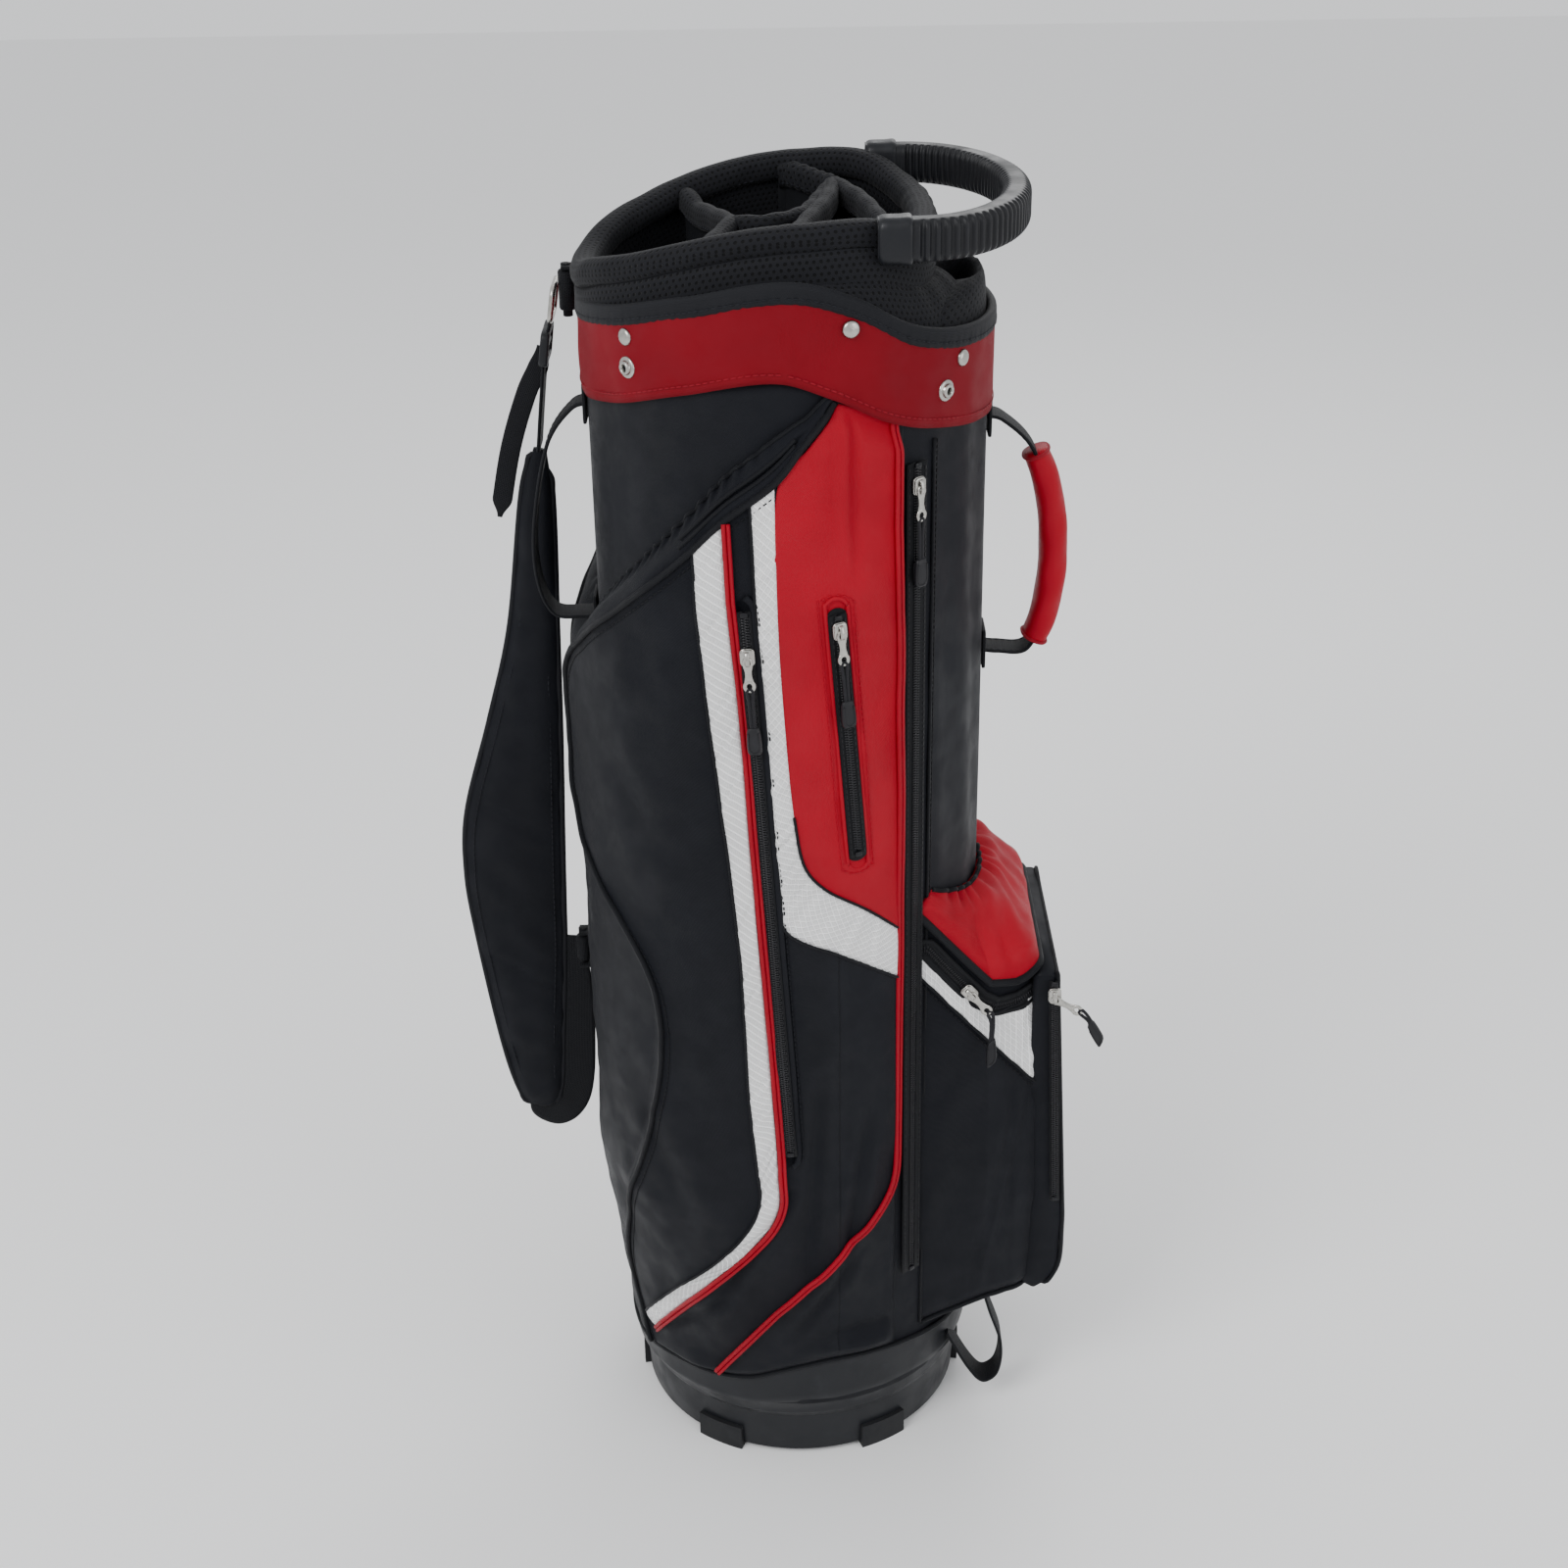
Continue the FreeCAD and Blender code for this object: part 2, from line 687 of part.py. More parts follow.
def pocket_region(inset):
    """The part of the side that the pocket covers, drawn in by inset."""
    low, high = pocket_skin[0][0], pocket_skin[-1][0]
    lean = math.degrees(inset / shell_radius)
    region = wedge(250, low + inset, high - inset, pocket_back_angle + lean, pocket_front_angle - lean)
    slope = [(x, shell_top + z - inset * slope_drop) for x, z in pocket_slope]
    below = slope + [(slope[-1][0], 0), (slope[0][0], 0)]
    in_front_of_slope = Part.makeBox(300, 260, high, Vector(slope_end, -260, 0))
    return region.common(prism(below, -260, 0).fuse(in_front_of_slope))


def side_pocket(cut_for):
    """The right-hand pocket, with slots for the given zips."""
    body = Part.makeCylinder(shell_radius + FIT, 1000, Vector(0, 0, 0))
    outer = skin_solid(0).common(pocket_region(0))
    hollow = skin_solid(pocket_wall).common(pocket_region(pocket_wall))
    pocket = outer.cut(hollow).cut(body).cut(cuff_room())
    for zip_ in cut_for:
        pocket = pocket.cut(zip_.bed())
    return largest(pocket)


def cuff_room():
    """The room under the cuff, which the pocket stops below."""
    inner = shell_radius - 1
    return round_band(inner, inner + 40, lambda a: cuff_low(a) - FIT, lambda a: cuff_high(a) + 60)


# ---- Zips -------------------------------------------------------------------------------------------------


class Zip:
    """A straight zip. Its own axes are X across it, Y up it and Z out of the bag, from the middle of its top."""

    def __init__(self, name, top, bottom, out, slider_at, width=tape_width):
        self.name, self.top, self.width = name, top, width
        up = top - bottom
        self.length = up.Length
        up.normalize()
        across = up.cross(out)
        across.normalize()
        out = across.cross(up)
        self.up, self.across, self.out = up, across, out
        self.slider_at = slider_at
        m = FreeCAD.Matrix(across.x, up.x, out.x, top.x, across.y, up.y, out.y, top.y,
                           across.z, up.z, out.z, top.z, 0, 0, 0, 1)
        self.placement = FreeCAD.Placement(m)

    def mirrored(self, name):
        """The same zip on the left-hand side."""
        flip = lambda v: Vector(v.x, -v.y, v.z)
        bottom = self.top - self.up * self.length
        return Zip(name, flip(self.top), flip(bottom), flip(self.out), self.slider_at, self.width)

    def place(self, shape):
        placed = shape.copy()
        placed.Placement = self.placement.multiply(placed.Placement)
        return placed

    def bed(self):
        """The slot that the tape lies in."""
        return self.place(Part.makeBox(self.width, self.length, 12,
                                       Vector(-self.width / 2, -self.length, -tape_thickness)))

    def tape(self):
        flat = Part.makeBox(self.width, self.length, tape_thickness,
                            Vector(-self.width / 2, -self.length, -tape_thickness))
        chain = Part.makeBox(chain_width, self.length - 8, chain_height, Vector(-chain_width / 2, 4 - self.length, 0))
        return self.place(flat.fuse(chain).removeSplitter())

    def slider(self):
        low = chain_height + slider_gap
        y = -self.slider_at
        body = Part.makeBox(slider_width, slider_length, slider_height, Vector(-slider_width / 2, y - slider_length, low))
        body = body.makeFillet(1.2, [e for e in body.Edges if abs(e.tangentAt(e.FirstParameter).z) > 0.9])
        top = low + slider_height
        hoop = Part.makeBox(bridge_width, slider_length - 2, bridge_height,
                            Vector(-bridge_width / 2, y - slider_length + 1, top))
        gap = Part.makeBox(bridge_width + 2, slider_length - 2 - 2 * bridge_wall, bridge_height - bridge_wall,
                           Vector(-bridge_width / 2 - 1, y - slider_length + 1 + bridge_wall, top))
        return self.place(body.fuse(hoop.cut(gap)).removeSplitter())

    def pivot(self):
        """The middle of the pull's pin, in the zip's own axes."""
        z = chain_height + slider_gap + slider_height + (bridge_height - bridge_wall) / 2
        return Vector(0, -self.slider_at - slider_length + 1 + bridge_wall + pull_pin_radius + 0.4, z)

    def pull(self):
        """A metal tab whose pin runs in the slider's bridge, with a cord and its moulded end."""
        p = self.pivot()
        window = bridge_width + 1.2
        tab = Part.makeBox(tab_width, tab_length, tab_thickness,
                           Vector(-tab_width / 2, p.y - tab_length, p.z - tab_thickness / 2))
        eye = Part.makeBox(window, tab_window + 2, tab_thickness + 2,
                           Vector(-window / 2, p.y - tab_window, p.z - tab_thickness / 2 - 1))
        hole_y = p.y - tab_length + tab_hole + 1.6
        hole = Part.makeCylinder(tab_hole, tab_thickness + 2, Vector(0, hole_y, p.z - tab_thickness / 2 - 1))
        pin = Part.makeCylinder(pull_pin_radius, tab_width, Vector(-tab_width / 2, p.y, p.z), Vector(1, 0, 0))
        tab = tab.cut(eye).cut(hole).fuse(pin).removeSplitter()
        cord_top = p.y - tab_length
        cord = Part.makeBox(cord_width, cord_length, cord_thickness,
                            Vector(-cord_width / 2, cord_top - cord_length, p.z - cord_thickness / 2))
        end = Part.makeBox(toggle_width, toggle_length, toggle_thickness,
                           Vector(-toggle_width / 2, cord_top - cord_length - toggle_length, p.z - toggle_thickness / 2))
        end = end.makeFillet(toggle_round, end.Edges)
        return Part.makeCompound([self.place(s) for s in (tab, cord, end)])


def skin_zip(name, top, bottom, slider_at):
    """A zip between two (angle, height) places on the pocket's skin, seated in it."""
    (top_point, out_top), (bottom_point, out_bottom) = skin_point(*top), skin_point(*bottom)
    out = out_top + out_bottom
    out.normalize()
    return Zip(name, top_point + out * 0.6, bottom_point + out * 0.6, out, slider_at)


def shell_zip(name, top, bottom, slider_at):
    """A zip between two (angle, height) places on the fabric tube."""
    seat = shell_radius + tape_thickness
    middle = (top[0] + bottom[0]) / 2
    return Zip(name, at(top[0], seat, top[1]), at(bottom[0], seat, bottom[1]), at(middle, 1, 0), slider_at)


def ball_side_normal():
    """Outward direction of the ball pocket's right-hand side."""
    out = Vector(ball_half_width - ball_front_half_width, -(ball_front - ball_back), 0)
    out.normalize()
    return out


def ball_side_y(x):
    t = (x - ball_back) / (ball_front - ball_back)
    return -(ball_half_width + (ball_front_half_width - ball_half_width) * t)


def ball_side_zip(name, top, bottom, slider_at, lift):
    """A zip between two (x, z) places on the ball pocket's right-hand side."""
    out = ball_side_normal()
    ends = [Vector(x, ball_side_y(x), z) + out * lift for x, z in (top, bottom)]
    return Zip(name, ends[0], ends[1], out, slider_at)


garment_zip = skin_zip("garment", (-11.2, shell_top - 131), (-2.0, 275), 22.0)
valuables_zip = skin_zip("valuables", (11.6, shell_top - 136), (17.2, shell_top - 296), 4.0)
seam_zip = shell_zip("seam", (36.3, shell_top - 56), (38.0, 150), 8.0)
ball_zip = ball_side_zip("ball", *in_front(((-28, 390), (-2, 358.5))), 24.0, tape_thickness)


# ---- Ball pocket ------------------------------------------------------------------------------------------


def ball_block(grow, front):
    """The ball pocket's plan, narrower towards the front, as a tall block."""
    corners = [(ball_back, -ball_half_width - grow), (front, ball_side_y(front) - grow),
               (front, -ball_side_y(front) + grow), (ball_back, ball_half_width + grow)]
    points = [Vector(x, y, 0) for x, y in corners]
    block = Part.Face(Part.makePolygon(points + points[:1])).extrude(Vector(0, 0, 600))
    upright = [e for e in block.Edges if e.Length > 500 and e.CenterOfMass.x > ball_back + 10]
    return block.makeFillet(16 + grow, upright)


def ball_below(drop):
    """Everything below the line where the lid meets the case."""
    line = [(x, z - drop) for x, z in in_front(ball_parting)]
    return prism([(0, line[0][1] + 110)] + line + [(300, line[-1][1]), (300, 0), (0, 0)], -150, 150)


def ball_above_floor(lift):
    line = [(x, z + lift) for x, z in in_front(ball_bottom_profile)]
    return prism([(0, line[0][1] - 28)] + line + [(300, line[-1][1] + 12), (300, 600), (0, 600)], -150, 150)


def bag_room():
    return Part.makeCylinder(shell_radius + FIT, 1000, Vector(0, 0, 0))


def ball_pocket_case():
    outside = ball_block(0, ball_front).common(ball_below(0)).common(ball_above_floor(0)).cut(bag_room())
    hollow = ball_block(-ball_wall, ball_front - ball_wall).common(ball_above_floor(ball_wall))
    case = outside.cut(hollow)
    return largest(case)


def lid_profile(inset):
    """The lid's side outline above the parting line, with its back against the bag."""
    edge = [(x - inset, z - inset) for x, z in in_front(ball_lid_profile)]
    return [(0, edge[0][1])] + edge + [(edge[-1][0], 300), (0, 300)]


def ball_pocket_lid():
    front = in_front(ball_lid_profile)[-1][0]
    outside = ball_block(FIT + lid_wall, front).common(prism(lid_profile(0), -150, 150))
    hollow = ball_block(FIT, front - lid_wall).common(prism(lid_profile(lid_wall), -150, 150))
    lid = outside.cut(hollow).cut(ball_below(-FIT)).cut(bag_room())
    return largest(lid)


def front_slip_pocket():
    """The flat pocket on the front of the ball pocket, deeper at its foot."""
    profile = [(ball_front, slip_bottom), (ball_front + slip_depth_bottom, slip_bottom + 14),
               (ball_front + slip_depth_bottom, slip_bottom + 50),
               (ball_front + slip_depth_top, slip_top), (ball_front, slip_top)]
    block = prism(profile, -slip_half_width, slip_half_width)
    inner = [(ball_front, slip_bottom + pocket_wall), (ball_front + slip_depth_bottom - pocket_wall, slip_bottom + 16),
             (ball_front + slip_depth_bottom - pocket_wall, slip_bottom + 48),
             (ball_front + slip_depth_top - pocket_wall, slip_top - pocket_wall), (ball_front, slip_top - pocket_wall)]
    hollow = prism(inner, pocket_wall - slip_half_width, slip_half_width - pocket_wall)
    return block.cut(hollow)


def slip_side_zip(name, top, bottom, slider_at):
    """A narrow zip between two (x, z) places on the slip pocket's right-hand side."""
    out = Vector(0, -1, 0)
    seat = -slip_half_width - tape_thickness
    return Zip(name, Vector(top[0], seat, top[1]), Vector(bottom[0], seat, bottom[1]), out, slider_at,
               narrow_tape_width)


slip_zip = slip_side_zip("slip", *in_front(((47.5, 366), (54.5, 190))), 4.0)
left_zip = garment_zip.mirrored("left_garment")
zips = (garment_zip, valuables_zip, seam_zip, ball_zip, slip_zip, left_zip)


# ---- Handles and strap ------------------------------------------------------------------------------------


def handle_parts(path, axis_x, radius):
    """A webbing handle in three: the ends sewn to the bag, and the part that swings about an upright line.

    Each end is round about that line, and the part that swings starts a clearance further out.
    """
    web = strip(path, webbing_width, webbing_thickness, 0)
    round_end = Part.makeCylinder(radius, 1000, Vector(axis_x, 0, 0))
    room = Part.makeCylinder(radius + FIT, 1000, Vector(axis_x, 0, 0))
    ends = web.common(round_end).cut(Part.makeCylinder(shell_radius, 1000, Vector(0, 0, 0)))
    return ends, largest(web.cut(room))


def carry_handle_grip(web):
    """The padded sleeve round the middle of the front handle."""
    high, low = (shell_top + z for z in grip_sleeve_span)
    edges = rounded_path(in_front(grip_path, shell_top), 0)
    start = edges[0].valueAt(edges[0].FirstParameter)
    along = edges[0].tangentAt(edges[0].FirstParameter)
    circle = Part.Wire(Part.makeCircle(grip_sleeve_radius, start, along))
    sleeve = Part.Wire(edges).makePipeShell([circle], True, False)
    span = Part.makeBox(200, 200, high - low, Vector(grip_axis_x + hinge_radius, -100, low))
    return sleeve.common(span).cut(web)


def strap_axis():
    """The line from the foot bar to the top bar."""
    foot, top = (Vector(x, strap_y, z) for x, z in behind_top((foot_bar, top_bar)))
    along = top - foot
    along.normalize()
    return foot, top, along


def bar(centre, along, radius):
    return Part.makeCylinder(radius, 2 * bar_half_height, centre - along * bar_half_height, along)


def plate(x_low, x_high, z_low, z_high):
    """A flat of webbing that faces the bag's sides, in the plane of the strap."""
    half = strap_web_thickness / 2
    return prism([(x_low, z_low), (x_high, z_low), (x_high, z_high), (x_low, z_high)], strap_y - half, strap_y + half)


def strap_anchors():
    """The two flats sewn to the bag, each with the bar that the strap turns on."""
    foot, top, along = strap_axis()
    cuff = Part.makeCylinder(cuff_outside(), 1000, Vector(0, 0, 0))
    binding = cuff_binding()
    high = plate(top.x, top.x + 14, top.z - bar_half_height + 1, top.z + bar_half_height - 1)
    high = high.fuse(bar(top, along, bar_radius)).cut(cuff).cut(binding)
    low = plate(foot.x, foot.x + 10, foot.z - bar_half_height + 1, foot.z + bar_half_height - 1)
    low = low.fuse(bar(foot, along, bar_radius)).cut(mirrored(skin_solid(0)))
    return Part.makeCompound([largest(high), largest(low)])


def strap_ring():
    """A rounded rectangle of wire that links the top flat to the webbing."""
    top, bottom = (Vector(x, strap_y, z) for x, z in behind_top(ring_ends))
    across = Vector(0, ring_width / 2, 0)
    down = bottom - top
    down.normalize()
    corners = [top - across, top + across, bottom + across, bottom - across]
    bend = 5.0
    edges, starts = [], []
    for before, corner, after in zip(corners[-1:] + corners[:-1], corners, corners[1:] + corners[:1]):
        a, b = before - corner, after - corner
        a.normalize()
        b.normalize()
        middle = corner + (a + b) * bend * (1 - math.sqrt(0.5))
        starts.append((corner + a * bend, middle, corner + b * bend))
    for this, following in zip(starts, starts[1:] + starts[:1]):
        edges.append(Part.Arc(*this).toShape())
        edges.append(Part.makeLine(this[2], following[0]))
    start = edges[0].valueAt(edges[0].FirstParameter)
    circle = Part.Wire(Part.makeCircle(ring_wire, start, edges[0].tangentAt(edges[0].FirstParameter)))
    return Part.Wire(edges).makePipeShell([circle], True, False)


def strap_tab(ring):
    """The flat that hangs on the top bar and carries the ring."""
    foot, top, along = strap_axis()
    flat = plate(behind_top(ring_ends)[0][0] - 4, top.x, top.z - bar_half_height + 2, top.z + bar_half_height - 3)
    return flat.cut(bar(top, along, bar_radius + FIT)).cut(ring).cut(
        Part.makeBox(20, 20, 40, Vector(top.x - 1, strap_y - 10, top.z - 20)))


def strap_upper_web(ring):
    return strip(behind_top(upper_web_path), upper_web_width, strap_web_thickness, strap_y).cut(ring)


def strap_adjuster(web):
    """The three-bar slide that the webbing threads through."""
    (x1, z1), (x2, z2) = behind_top(upper_web_path[1:3])
    high, low = (shell_top + z for z in adjuster_span)
    lean = (x2 - x1) / (z2 - z1)
    ends = [(x1 + lean * (z - z1), z) for z in (high, low)]
    half = adjuster_thickness / 2
    outline = [(ends[0][0] - half, high), (ends[0][0] + half, high), (ends[1][0] + half, low), (ends[1][0] - half, low)]
    block = prism(outline, strap_y - adjuster_width / 2, strap_y + adjuster_width / 2)
    return block.cut(web)


def flat_outline(points, thickness):
    """A flat piece in the plane of the strap, with a smooth outline."""
    edge = closed_curve([Vector(x, strap_y - thickness / 2, z) for x, z in behind_top(points)])
    return Part.Face(Part.Wire(edge)).extrude(Vector(0, thickness, 0))


def strap_pad(web):
    return flat_outline(pad_outline, strap_pad_thickness).cut(web)


def strap_lower_web(pad):
    """The webbing that turns up from the foot of the pad to the foot bar."""
    foot, top, along = strap_axis()
    web = flat_outline(lower_web_outline, strap_web_thickness).cut(pad)
    web = web.cut(bar(foot, along, bar_radius + FIT))
    beside = Part.makeBox(30, 20, 60, Vector(foot.x - 1, strap_y - 10, foot.z - bar_half_height - 1))
    return largest(web.cut(beside))


def strap_tail(web, adjuster, pad):
    tail = strip(behind_top(tail_path), strap_web_thickness, tail_width, strap_y)
    return largest(tail.cut(web).cut(adjuster).cut(pad))


def base_loop(case):
    loop = strip(in_front(loop_path), webbing_width, webbing_thickness, loop_y)
    loop = loop.cut(Part.makeCylinder(shell_radius, 1000, Vector(0, 0, 0))).cut(case)
    return largest(loop)


# ---- All pieces -------------------------------------------------------------------------------------------


def pieces():
    """Every piece by the name of its file."""
    bars = divider_bars()
    made = {
        "base_cup": base_cup(),
        "base_feet": base_feet(),
        "support_rods": support_rods(),
        "bag_shell": bag_shell(),
        "cuff_band": cuff_band(),
        "cuff_binding": cuff_binding(),
        "cuff_rivets": cuff_rivets(),
        "hood_studs": hood_studs(),
        "throat_collar": throat_collar(),
        "throat_rim": throat_rim(),
        "divider_bars": bars,
        "divider_panels": divider_panels(bars),
        "putter_tube": putter_tube(),
        "putter_pad": putter_pad(),
        "top_handle": top_handle(),
        "handle_sockets": handle_sockets(),
        "right_side_pocket": side_pocket((garment_zip, valuables_zip)),
        "left_side_pocket": mirrored(side_pocket((garment_zip,))),
        "ball_pocket_case": ball_pocket_case(),
        "ball_pocket_lid": ball_pocket_lid(),
        "front_slip_pocket": front_slip_pocket(),
    }
    for zip_ in zips:
        made[zip_.name + "_zip_tape"] = zip_.tape()
        made[zip_.name + "_zip_slider"] = zip_.slider()
        made[zip_.name + "_zip_pull"] = zip_.pull()
    made["carry_handle_ends"], made["carry_handle_webbing"] = handle_parts(
        in_front(grip_path, shell_top), grip_axis_x, hinge_radius)
    made["carry_handle_grip"] = carry_handle_grip(made["carry_handle_webbing"])
    made["back_handle_ends"], made["back_handle_webbing"] = handle_parts(
        behind_top(back_path), back_axis_x, back_hinge_radius)
    ring = strap_ring()
    upper = strap_upper_web(ring)
    adjuster = strap_adjuster(upper)
    pad = strap_pad(upper)
    made["strap_anchors"] = strap_anchors()
    made["strap_ring"] = ring
    made["strap_tab"] = strap_tab(ring)
    made["strap_upper_webbing"] = upper
    made["strap_adjuster"] = adjuster
    made["strap_pad"] = pad
    made["strap_tail"] = strap_tail(upper, adjuster, pad)
    made["strap_lower_webbing"] = strap_lower_web(pad)
    made["base_loop"] = base_loop(made["ball_pocket_case"])
    return made


def main():
    os.makedirs(OUT, exist_ok=True)
    for name, shape in pieces().items():
        save(name, shape)


if __name__ == "__main__":
    main()
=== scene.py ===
import bpy
import numpy as np
from mathutils import Matrix, Vector


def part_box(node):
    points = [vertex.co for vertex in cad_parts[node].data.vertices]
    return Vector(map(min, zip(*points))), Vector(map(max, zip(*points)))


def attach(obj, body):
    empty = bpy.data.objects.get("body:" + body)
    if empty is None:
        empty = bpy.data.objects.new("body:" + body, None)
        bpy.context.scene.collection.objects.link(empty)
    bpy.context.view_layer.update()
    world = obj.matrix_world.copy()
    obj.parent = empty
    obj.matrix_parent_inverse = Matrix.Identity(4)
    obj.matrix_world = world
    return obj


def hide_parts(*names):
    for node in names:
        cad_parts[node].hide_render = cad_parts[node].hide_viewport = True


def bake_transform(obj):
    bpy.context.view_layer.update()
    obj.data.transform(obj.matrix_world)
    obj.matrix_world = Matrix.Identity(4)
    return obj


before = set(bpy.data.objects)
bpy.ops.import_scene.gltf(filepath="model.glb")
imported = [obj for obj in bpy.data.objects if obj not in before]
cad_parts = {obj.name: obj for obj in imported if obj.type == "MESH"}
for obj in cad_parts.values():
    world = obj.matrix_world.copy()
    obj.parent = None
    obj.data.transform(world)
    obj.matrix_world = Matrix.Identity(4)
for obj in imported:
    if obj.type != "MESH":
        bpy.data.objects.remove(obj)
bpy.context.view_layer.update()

mm = 0.001  # every size below is in millimetres, and a mesh is turned to metres when it is made
shellLow, shellHigh = (np.array(corner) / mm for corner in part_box("bag_shell"))
shellRadius = shellHigh[0]
shellTop = shellHigh[2]
perDegree = np.pi * shellRadius / 180  # millimetres of cloth round the shell for each degree
pocketDegree = 1.08 * perDegree  # the same on the side pockets, which stand further out
print("frame loaded, shell radius", round(shellRadius, 2), "top", round(shellTop, 2))


# Curves and surfaces


def easedCurve(knots, u):
    # a cubic through (u, value) knots, whose slope at a knot is the mean of its two neighbours' slopes
    table = np.asarray(knots, float)
    x, y = table[:, 0], table[:, 1]
    slopes = np.diff(y) / np.diff(x)
    tangents = np.concatenate([[0], (slopes[1:] + slopes[:-1]) / 2, [0]])
    u = np.clip(np.asarray(u, float), x[0], x[-1])
    i = np.clip(np.searchsorted(x, u, side="right") - 1, 0, len(x) - 2)
    span = x[i + 1] - x[i]
    t = (u - x[i]) / span
    rise = (2 * t**3 - 3 * t**2 + 1) * y[i] + (3 * t**2 - 2 * t**3) * y[i + 1]
    return rise + (t**3 - 2 * t**2 + t) * span * tangents[i] + (t**3 - t**2) * span * tangents[i + 1]


def through(points, count, closed=False):
    # a smooth curve through points, as count points evenly spaced along it: on each span a cubic whose end
    # slopes are the chords between the neighbours, with the square root of the chord as its parameter
    p = np.asarray(points, float)
    if closed:
        p = np.vstack([p[-2:], p, p[:3]])
    step = np.sqrt(np.maximum(np.linalg.norm(np.diff(p, axis=0), axis=1), 1e-6))
    knot = np.concatenate([[0], np.cumsum(step)])
    slope = np.empty_like(p)
    slope[1:-1] = (p[2:] - p[:-2]) / (knot[2:] - knot[:-2])[:, None]
    slope[0] = (p[1] - p[0]) / step[0]
    slope[-1] = (p[-1] - p[-2]) / step[-1]
    first, last = (knot[2], knot[-3]) if closed else (knot[0], knot[-1])
    u = np.linspace(first, last, 24 * len(p))
    i = np.clip(np.searchsorted(knot, u, side="right") - 1, 0, len(p) - 2)
    h = step[i][:, None]
    t = ((u - knot[i]) / step[i])[:, None]
    dense = (2 * t**3 - 3 * t**2 + 1) * p[i] + (3 * t**2 - 2 * t**3) * p[i + 1]
    dense += (t**3 - 2 * t**2 + t) * h * slope[i] + (t**3 - t**2) * h * slope[i + 1]
    return evenly(dense, count + 1)[:-1] if closed else evenly(dense, count)


def evenly(path, count):
    # the same line as count points evenly spaced along it
    length = np.concatenate([[0], np.cumsum(np.linalg.norm(np.diff(path, axis=0), axis=1))])
    at = np.linspace(0, length[-1], count)
    return np.stack([np.interp(at, length, path[:, c]) for c in range(path.shape[1])], -1)


def runLength(path):
    return np.concatenate([[0], np.cumsum(np.linalg.norm(np.diff(path, axis=0), axis=1))])


def unit(v):
    return v / np.maximum(np.linalg.norm(v, axis=-1, keepdims=True), 1e-9)


def ramp(x, low, high):
    # 0 below low, 1 above high, and a smooth step between
    t = np.clip((x - low) / (high - low), 0, 1)
    return t * t * (3 - 2 * t)


def bell(x, width):
    return np.exp(-((x / width) ** 2))


def ripple(u, v, count, shortest, longest, height, seed):
    # slow uneven waves: count sines with seeded directions, lengths and starts, added together
    random = np.random.default_rng(seed)
    total = np.zeros(np.broadcast(u, v).shape)
    for angle, share, start in random.random((count, 3)):
        length = shortest * (longest / shortest) ** share
        direction = 2 * np.pi * angle
        total += np.sin(2 * np.pi * ((u * np.cos(direction) + v * np.sin(direction)) / length + start))
    return total * height / np.sqrt(count)


def roundedBox(width, height, corner, steps=5):
    # the outline of a box with rounded corners, centred on 0, anticlockwise
    corner = min(corner, width / 2 - 1e-3, height / 2 - 1e-3)
    turn = np.linspace(0, np.pi / 2, steps)
    outline = []
    for k, (sx, sy) in enumerate(((1, 1), (-1, 1), (-1, -1), (1, -1))):
        a = turn + k * np.pi / 2
        centre = np.array([sx * (width / 2 - corner), sy * (height / 2 - corner)])
        outline.append(centre + corner * np.stack([np.cos(a), np.sin(a)], -1))
    return np.vstack(outline)


def circle(radius, steps=10):
    a = np.arange(steps) * 2 * np.pi / steps
    return radius * np.stack([np.cos(a), np.sin(a)], -1)


def signedPower(x, power):
    # raises the size of x to a power and keeps its sign: turns a circle's numbers into a squarer round's
    return np.sign(x) * np.abs(x) ** power


def sweep(path, section, up, closed=False):
    # carries a section along a path: its first number runs sideways, across up, and its second along up
    if closed:
        along = unit(np.roll(path, -1, axis=0) - np.roll(path, 1, axis=0))
    else:
        along = unit(np.gradient(path, axis=0))
    side = unit(np.cross(along, np.broadcast_to(up, path.shape)))
    over = np.cross(side, along)
    section = np.broadcast_to(section, (len(path),) + np.shape(section)[-2:])
    return path[:, None] + side[:, None] * section[..., :1] + over[:, None] * section[..., 1:]


def skin(grid, closeAlong=False, closeAround=True, capped=True):
    # quads between the neighbouring rings of a grid (along, around, xyz), with a face on each open end.
    # The map on the surface is in millimetres: the mean run along it, and each ring's own run around it
    n, k = grid.shape[:2]
    i, j = np.meshgrid(np.arange(n if closeAlong else n - 1), np.arange(k if closeAround else k - 1),
                       indexing="ij")
    i2, j2 = (i + 1) % n, (j + 1) % k
    quads = np.stack([i * k + j, i2 * k + j, i2 * k + j2, i * k + j2], -1).reshape(-1, 4)
    full = np.concatenate([grid, grid[:1]]) if closeAlong else grid
    full = np.concatenate([full, full[:, :1]], axis=1) if closeAround else full
    along = np.concatenate([[0], np.cumsum(np.linalg.norm(np.diff(full, axis=0), axis=2).mean(1))])
    around = np.concatenate([np.zeros((len(full), 1)), np.cumsum(np.linalg.norm(np.diff(full, axis=1),
            axis=2), 1)], 1)
    around = around - around[:, -1:] / 2
    uv = np.stack([around, np.broadcast_to(along[:, None], around.shape)], -1)
    corners = np.stack([uv[i, j], uv[i + 1, j], uv[i + 1, j + 1], uv[i, j + 1]], 2).reshape(-1, 4, 2)
    caps = []
    if capped and closeAround and not closeAlong:
        caps = [list(range(k)), [(n - 1) * k + c for c in reversed(range(k))]]
    return {"points": grid.reshape(-1, 3), "quads": quads, "caps": caps, "uv": corners}


def flipped(part):
    return {"points": part["points"], "quads": part["quads"][:, ::-1], "uv": part["uv"][:, ::-1],
            "caps": [cap[::-1] for cap in part["caps"]]}


